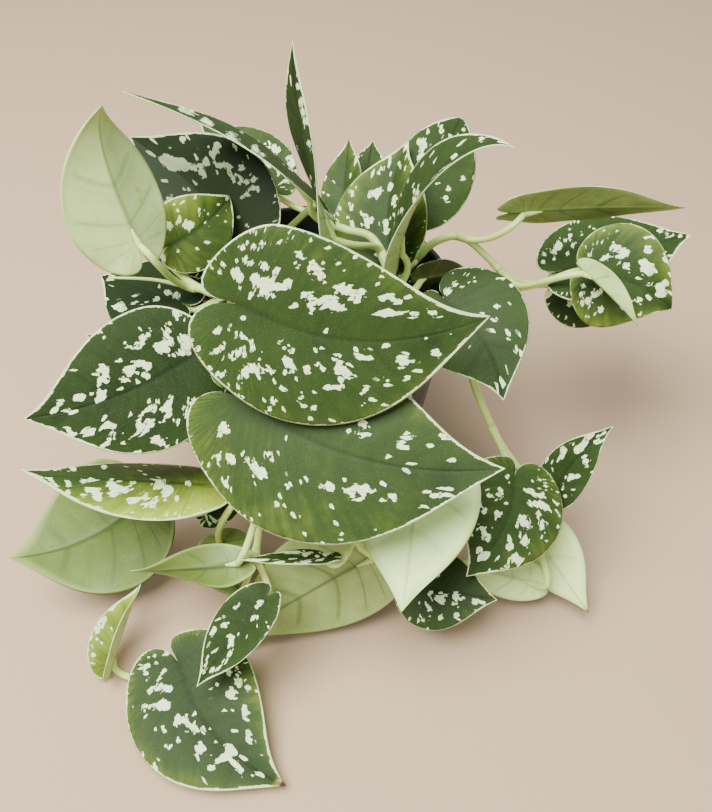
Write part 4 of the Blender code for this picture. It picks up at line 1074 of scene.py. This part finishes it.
def add_leaf(name, leaf, number, settings, materials):
    """One blade as a closed shell. Its middle is the laid blade, which swells a little between its side veins
    and waves slightly at the margin. The upper side stands half the thickness off it along its normal, less a
    groove at the midrib and a shallow dip at each side vein, and the underside as far below, plus the keel of
    the midrib and the rise of each side vein. Both meet at the margin, where the thickness falls off as a
    quarter circle. The chart of the veins gives the way along the leaf and the way out from the midrib, and
    the rim value is the way to the margin over the silver rim's width, which grows towards the tip."""
    draw = np.random.default_rng(DRAW_SEED + number)
    length = leaf_axes(leaf)[1]
    s, t = leaf_grid(length >= LARGE_LEAF)
    x, y = flat_blade(s, t, leaf.width)
    middle = laid_blade(leaf, x, y)
    step = 0.002
    ahead = laid_blade(leaf, x + step, y) - laid_blade(leaf, x - step, y)
    aside = laid_blade(leaf, x, y + step) - laid_blade(leaf, x, y - step)
    out = unit(np.cross(ahead, aside))

    flat = np.stack([x, y], -1) * length
    row_steps = np.linalg.norm(np.diff(flat, axis=1), axis=-1)
    travelled = np.concatenate([np.zeros((len(s), 1)), np.cumsum(row_steps, axis=1)], axis=1)
    centre = s.shape[1] // 2
    to_right = travelled[:, centre:centre + 1]
    v = travelled - to_right
    reach = np.where(v >= 0, travelled[:, -1:] - to_right, to_right)
    u = s * 0.9 * length
    to_margin = np.maximum(reach - np.abs(v), 0)
    notch, tip = (s - NOTCH_START) / END_ROUNDING, (1 - s) / END_ROUNDING
    edge = rounded(to_margin / EDGE_ROUNDING) * rounded(notch) * rounded(tip)

    from_base = np.hypot(x, y)
    turn = s * (LARGE_VEINS if length >= LARGE_LEAF else SMALL_VEINS) + draw.uniform(0, 1)
    share = np.abs(t)
    side_vein = np.exp(-(((turn - np.round(turn)) / VEIN_WIDTH) ** 2))
    clear = smooth_step(0.12, 0.4, from_base)
    side_vein = side_vein * smooth_step(0.03, 0.12, share) * smooth_step(1.0, 0.55, share) * clear
    quilt = (0.5 - 0.5 * np.cos(2 * math.pi * turn)) * share * (1 - share) * 4
    rib_width = RIB_WIDTH * (1 - 0.75 * np.clip(x, 0, 1))
    rib = np.exp(-((y * length / rib_width) ** 2)) * smooth_step(1.02, 0.85, x)
    half = settings.thickness / MM / 2
    keel = settings.keel / MM * (1 - 0.7 * np.clip(x, 0, 1)) * rib
    wave = draw.uniform(*MARGIN_WAVES) * share**3
    wave = wave * np.sin(2 * math.pi * (s * draw.uniform(2.2, 3.4) + draw.uniform()))
    swell = QUILT_SWELL * quilt * clear
    shift = (wave + swell) * np.minimum(edge, 1) * np.clip(tip, 0, 1) * np.clip(notch, 0, 1)
    mid = middle + out * shift[..., None]
    upper = mid + out * ((half - GROOVE_DEPTH * rib - VEIN_DIP * side_vein) * edge)[..., None]
    lower = mid - out * ((half + keel + VEIN_RISE * side_vein) * edge)[..., None]

    rim_width = settings.rim_width / MM * np.clip(length / LARGE_LEAF, 0.5, 1.2)
    rim_width = rim_width * (0.75 + 0.5 * smooth_step(0.5, 0.9, x) - 0.6 * smooth_step(0.86, 1.0, x))
    if name in YOUNG_LEAVES:
        rim_width = rim_width * YOUNG_RIM
    if name in SPLASHES:
        splash = shown_splashes(name, middle)
    else:
        splash = drawn_splashes(u, v, length, draw)
    splash = splash - smooth_step(0.24, 0.08, from_base) * smooth_step(0.35, 0.05, splash)
    tone = TONES.get(name, PLAIN_TONE) + CHANCE_TONE * draw.normal()
    along_slope, left_slope = TONE_SLOPES.get(name, (0, 0))
    tone = tone + along_slope * (x - 0.5) + left_slope * y
    tone = tone + MARGIN_TONES.get(name, PLAIN_MARGIN_TONE) * (share**2 - 0.35)
    if name in DEEP_PATCHES:
        tone = tone - PATCH_TONE * bells_at(DEEP_PATCHES[name], middle)
    brown = smooth_step(0.0, 1.0, (x - 1) / BROWN_TIPS[name] + 1) if name in BROWN_TIPS else np.zeros(s.shape)
    if name in BLEMISHES:
        brown = np.maximum(brown, BLEMISH_BROWN * bells_at(BLEMISHES[name], middle))

    def both(top, low=None):
        return np.concatenate([top.ravel(), (top if low is None else low).ravel()])

    rows, columns = s.shape
    top_faces = grid_faces(rows, columns)
    faces = np.vstack([top_faces, grid_faces(rows, columns, rows * columns)[:, ::-1]])
    piece = new_piece(
        f"satin_leaf_{name}", np.concatenate([upper.reshape(-1, 3), lower.reshape(-1, 3)]), faces, materials,
        {
            "splash": both(splash), "rim": both(to_margin / rim_width), "tone": both(tone),
            "pale": both(np.full(s.shape, PALENESS.get(name, PLAIN_PALENESS))), "brown": both(brown),
            "vein": both(np.maximum(0.6 * side_vein, rib), np.maximum(0.2 * side_vein, rib)),
        },
        {"veins": np.vstack([np.stack([u / 10, v / 10], -1).reshape(-1, 2)] * 2)},
        np.repeat([0, 1], len(top_faces)),
    )
    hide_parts(f"leaf_{name}")


def stem_rod(name, vine):
    """The stem: a rod along a smooth line, swollen at each node, where a petiole leaves it, with a thin
    ring just below. It gives the grid, and for each row the ring value, the age and the way from the root."""
    root = np.array([[*vine.points[0][:2], HOLE_FLOOR + SEAT_GAP + 1.0]])
    line = np.vstack([root, smooth_line(vine.points, STEM_STEPS)])
    way = np.concatenate([[0], np.linspace(0, 1, len(line) - 1)])
    travelled = way_along(line)
    nodes = [leaf.at for leaf in LEAVES.values() if leaf.vine == name]
    gaps = travelled[:, None] - np.interp(nodes, way[1:], travelled[1:])
    swelling = NODE_SWELLING * np.exp(-((gaps / NODE_LENGTH) ** 2)).max(1)
    ring = np.exp(-(((gaps + RING_DROP) / RING_LENGTH) ** 2)).max(1)
    radii = STEM_FULLNESS * (vine.thick + (vine.thin - vine.thick) * way)
    return tube(line, radii * (1 + swelling + RING_SWELLING * ring)), ring, 0.55 * (1 - 0.8 * way), travelled


def add_vine(name, vine, material):
    """A stem and its petioles as one piece of closed rods. A petiole is thicker where it clasps the stem and
    tapers where it runs on under the midrib."""
    rods = [stem_rod(name, vine)]
    for leaf in LEAVES.values():
        if leaf.vine != name:
            continue
        line, run = petiole_line(leaf)
        way = np.linspace(0, 1, len(line))
        travelled = way_along(line)
        clasp = np.exp(-((travelled / CLASP_LENGTH) ** 2))
        joint = np.exp(-(((travelled[-1] - travelled) / JOINT_LENGTH) ** 2))
        radii = PETIOLE_RADIUS * (1 + CLASP_SWELLING * clasp - JOINT_THINNING * joint)
        radii[-run:] = PETIOLE_RADIUS * MERGE_RADII
        grid = tube(line, radii, PETIOLE_SIDES, PETIOLE_GROOVE)
        rods.append((grid, 0 * way, 0.12 + 0.1 * way, travelled))
    points, faces, rings, ages, charts, first = [], [], [], [], [], 0
    for grid, *values in rods:
        rows, columns = grid.shape[:2]
        pad = (rows - len(values[0])) // 2
        ring, age, travelled = [np.repeat(np.pad(value, pad, mode="edge"), columns) for value in values]
        points.append(grid.reshape(-1, 3))
        faces.append(grid_faces(rows, columns, first)[:, ::-1])
        rings.append(ring)
        ages.append(age)
        charts.append(np.stack([travelled / 10, np.tile(np.linspace(0, 1, columns), rows)], -1))
        first += rows * columns
    piece = new_piece(
        f"vine_stem_{name}", np.vstack(points), np.vstack(faces), [material],
        {"ring": np.concatenate(rings), "age": np.concatenate(ages)}, {"length": np.vstack(charts)},
    )
    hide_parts(f"vine_{name}")


def pot_inner_radius(z):
    """The inside of the wall below the rim: the outside's straight taper less the wall."""
    below_rim = POT_TOP_RADIUS - RIM_STEP
    return POT_BASE_RADIUS + (below_rim - POT_BASE_RADIUS) * z / (POT_HEIGHT - RIM_HEIGHT) - POT_WALL


def add_soil(settings, material):
    """The soil as rings about the pot's axis: across the bottom, up the wall, and over a low dome whose
    height takes lumps of three sizes, which fade out at the wall."""
    low, brim = POT_FLOOR + SEAT_GAP, SOIL_HEIGHT - SOIL_DOME
    low_radius, top_radius = pot_inner_radius(low) - SEAT_GAP, pot_inner_radius(brim) - SEAT_GAP
    inward = np.linspace(1, 0, 90)[1:]
    radii = np.concatenate([[0, low_radius], np.linspace(low_radius, top_radius, 8)[1:], top_radius * inward])
    heights = np.concatenate([
        [low, low], np.linspace(low, brim - 1.0, 8)[1:], brim - 1.0 + (SOIL_DOME + 1.0) * (1 - inward**2),
    ])
    loose = np.concatenate([np.zeros(9), smooth_step(0, 0.08, 1 - inward)])
    turn = np.linspace(0, 2 * math.pi, 181)
    x, y = radii[:, None] * np.cos(turn), radii[:, None] * np.sin(turn)
    lumps = 0.5 * even_noise(x, y, 3, 11.0) + 0.35 * np.abs(even_noise(x, y, 4, 4.2))
    lumps = lumps + 0.25 * even_noise(x, y, 5, 1.9)
    z = heights[:, None] + loose[:, None] * (lumps - 0.5) * settings.lumps / MM
    piece = new_piece(
        "soil_surface", np.stack([x, y, z], -1).reshape(-1, 3), grid_faces(len(radii), len(turn)), [material],
        merge=0.005,
    )
    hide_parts("potting_soil")


class POTHOS_OT_pot(bpy.types.Operator):
    """Give the nursery pot its moulded plastic"""

    bl_idname = "pothos.pot"
    bl_label = "Finish pot"

    def execute(self, context):
        material = pot_material(context.scene.pothos_pot)
        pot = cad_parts["pot"]
        for place in pot.material_slots:
            place.material = material
        return {"FINISHED"}


class POTHOS_OT_soil(bpy.types.Operator):
    """Lay the lumpy soil in the pot"""

    bl_idname = "pothos.soil"
    bl_label = "Add soil"

    def execute(self, context):
        settings = context.scene.pothos_pot
        add_soil(settings, soil_material(settings))
        return {"FINISHED"}


class POTHOS_OT_vines(bpy.types.Operator):
    """Grow the ten stems and their petioles"""

    bl_idname = "pothos.vines"
    bl_label = "Add vines"

    def execute(self, context):
        material = stem_material(context.scene.pothos_pot)
        for name, vine in VINES.items():
            add_vine(name, vine, material)
        return {"FINISHED"}


class POTHOS_OT_leaves(bpy.types.Operator):
    """Grow the forty blades with their silver splashes"""

    bl_idname = "pothos.leaves"
    bl_label = "Add leaves"

    def execute(self, context):
        settings = context.scene.pothos_leaf
        materials = [leaf_top_material(settings), leaf_under_material(settings)]
        for number, (name, leaf) in enumerate(LEAVES.items()):
            add_leaf(name, leaf, number, settings, materials)
        return {"FINISHED"}


class POTHOS_OT_stage(bpy.types.Operator):
    """Set the plain floor, the soft light and the photograph's camera"""

    bl_idname = "pothos.stage"
    bl_label = "Set stage"

    def execute(self, context):
        settings = context.scene.pothos_stage
        reach = settings.floor_size / 2
        corners = [(-reach, -reach, 0), (reach, -reach, 0), (reach, reach, 0), (-reach, reach, 0)]
        mesh = bpy.data.meshes.new("floor")
        mesh.from_pydata(corners, [], [(0, 1, 2, 3)])
        material, _, shader = new_material("plain_floor")
        shader.inputs["Base Color"].default_value = colour(settings.floor)
        shader.inputs["Roughness"].default_value = 0.85
        mesh.materials.append(material)
        floor = bpy.data.objects.new("floor", mesh)
        context.scene.collection.objects.link(floor)

        key = bpy.data.lights.new("key", "AREA")
        key.shape = "DISK"
        key.size = KEY_SIZE
        key.energy = settings.key_power
        key.color = KEY_COLOUR
        lamp = bpy.data.objects.new("key", key)
        lamp.location = KEY_PLACE
        aim = Vector(KEY_AIM) - lamp.location
        lamp.rotation_euler = aim.to_track_quat("-Z", "Y").to_euler()
        context.scene.collection.objects.link(lamp)

        world = bpy.data.worlds.new("studio")
        world.use_nodes = True
        background = world.node_tree.nodes["Background"]
        background.inputs["Color"].default_value = SKY_COLOUR
        background.inputs["Strength"].default_value = settings.sky
        context.scene.world = world

        lens = bpy.data.cameras.new("photo")
        lens.sensor_width = SENSOR
        lens.lens = FOCAL_PIXELS * SENSOR / PHOTO_HEIGHT
        lens.clip_start = 0.01
        camera = bpy.data.objects.new("photo", lens)
        camera.location = [value * MM for value in CAMERA_PLACE]
        camera.rotation_euler = (math.radians(90 - CAMERA_PITCH), 0, 0)
        context.scene.collection.objects.link(camera)
        context.scene.camera = camera
        return {"FINISHED"}


class POTHOS_PT_panel(bpy.types.Panel):
    """Lists the plant's pieces and their settings"""

    bl_label = "Potted Satin Pothos"
    bl_idname = "POTHOS_PT_panel"
    bl_space_type = "VIEW_3D"
    bl_region_type = "UI"
    bl_category = "Pothos"

    def draw(self, context):
        for step in STEPS:
            self.layout.operator(step.bl_idname)
        for group in (context.scene.pothos_leaf, context.scene.pothos_pot, context.scene.pothos_stage):
            box = self.layout.box()
            for key in group.__annotations__:
                box.prop(group, key)


STEPS = (POTHOS_OT_pot, POTHOS_OT_soil, POTHOS_OT_vines, POTHOS_OT_leaves, POTHOS_OT_stage)
CLASSES = (PothosLeafSettings, PothosPotSettings, PothosStageSettings, *STEPS, POTHOS_PT_panel)


def register():
    for item in CLASSES:
        bpy.utils.register_class(item)
    bpy.types.Scene.pothos_leaf = bpy.props.PointerProperty(type=PothosLeafSettings)
    bpy.types.Scene.pothos_pot = bpy.props.PointerProperty(type=PothosPotSettings)
    bpy.types.Scene.pothos_stage = bpy.props.PointerProperty(type=PothosStageSettings)


def unregister():
    del bpy.types.Scene.pothos_stage
    del bpy.types.Scene.pothos_pot
    del bpy.types.Scene.pothos_leaf
    for item in reversed(CLASSES):
        bpy.utils.unregister_class(item)


def main():
    register()
    bpy.ops.pothos.pot()
    bpy.ops.pothos.soil()
    bpy.ops.pothos.vines()
    bpy.ops.pothos.leaves()
    bpy.ops.pothos.stage()


if __name__ == "__main__":
    main()
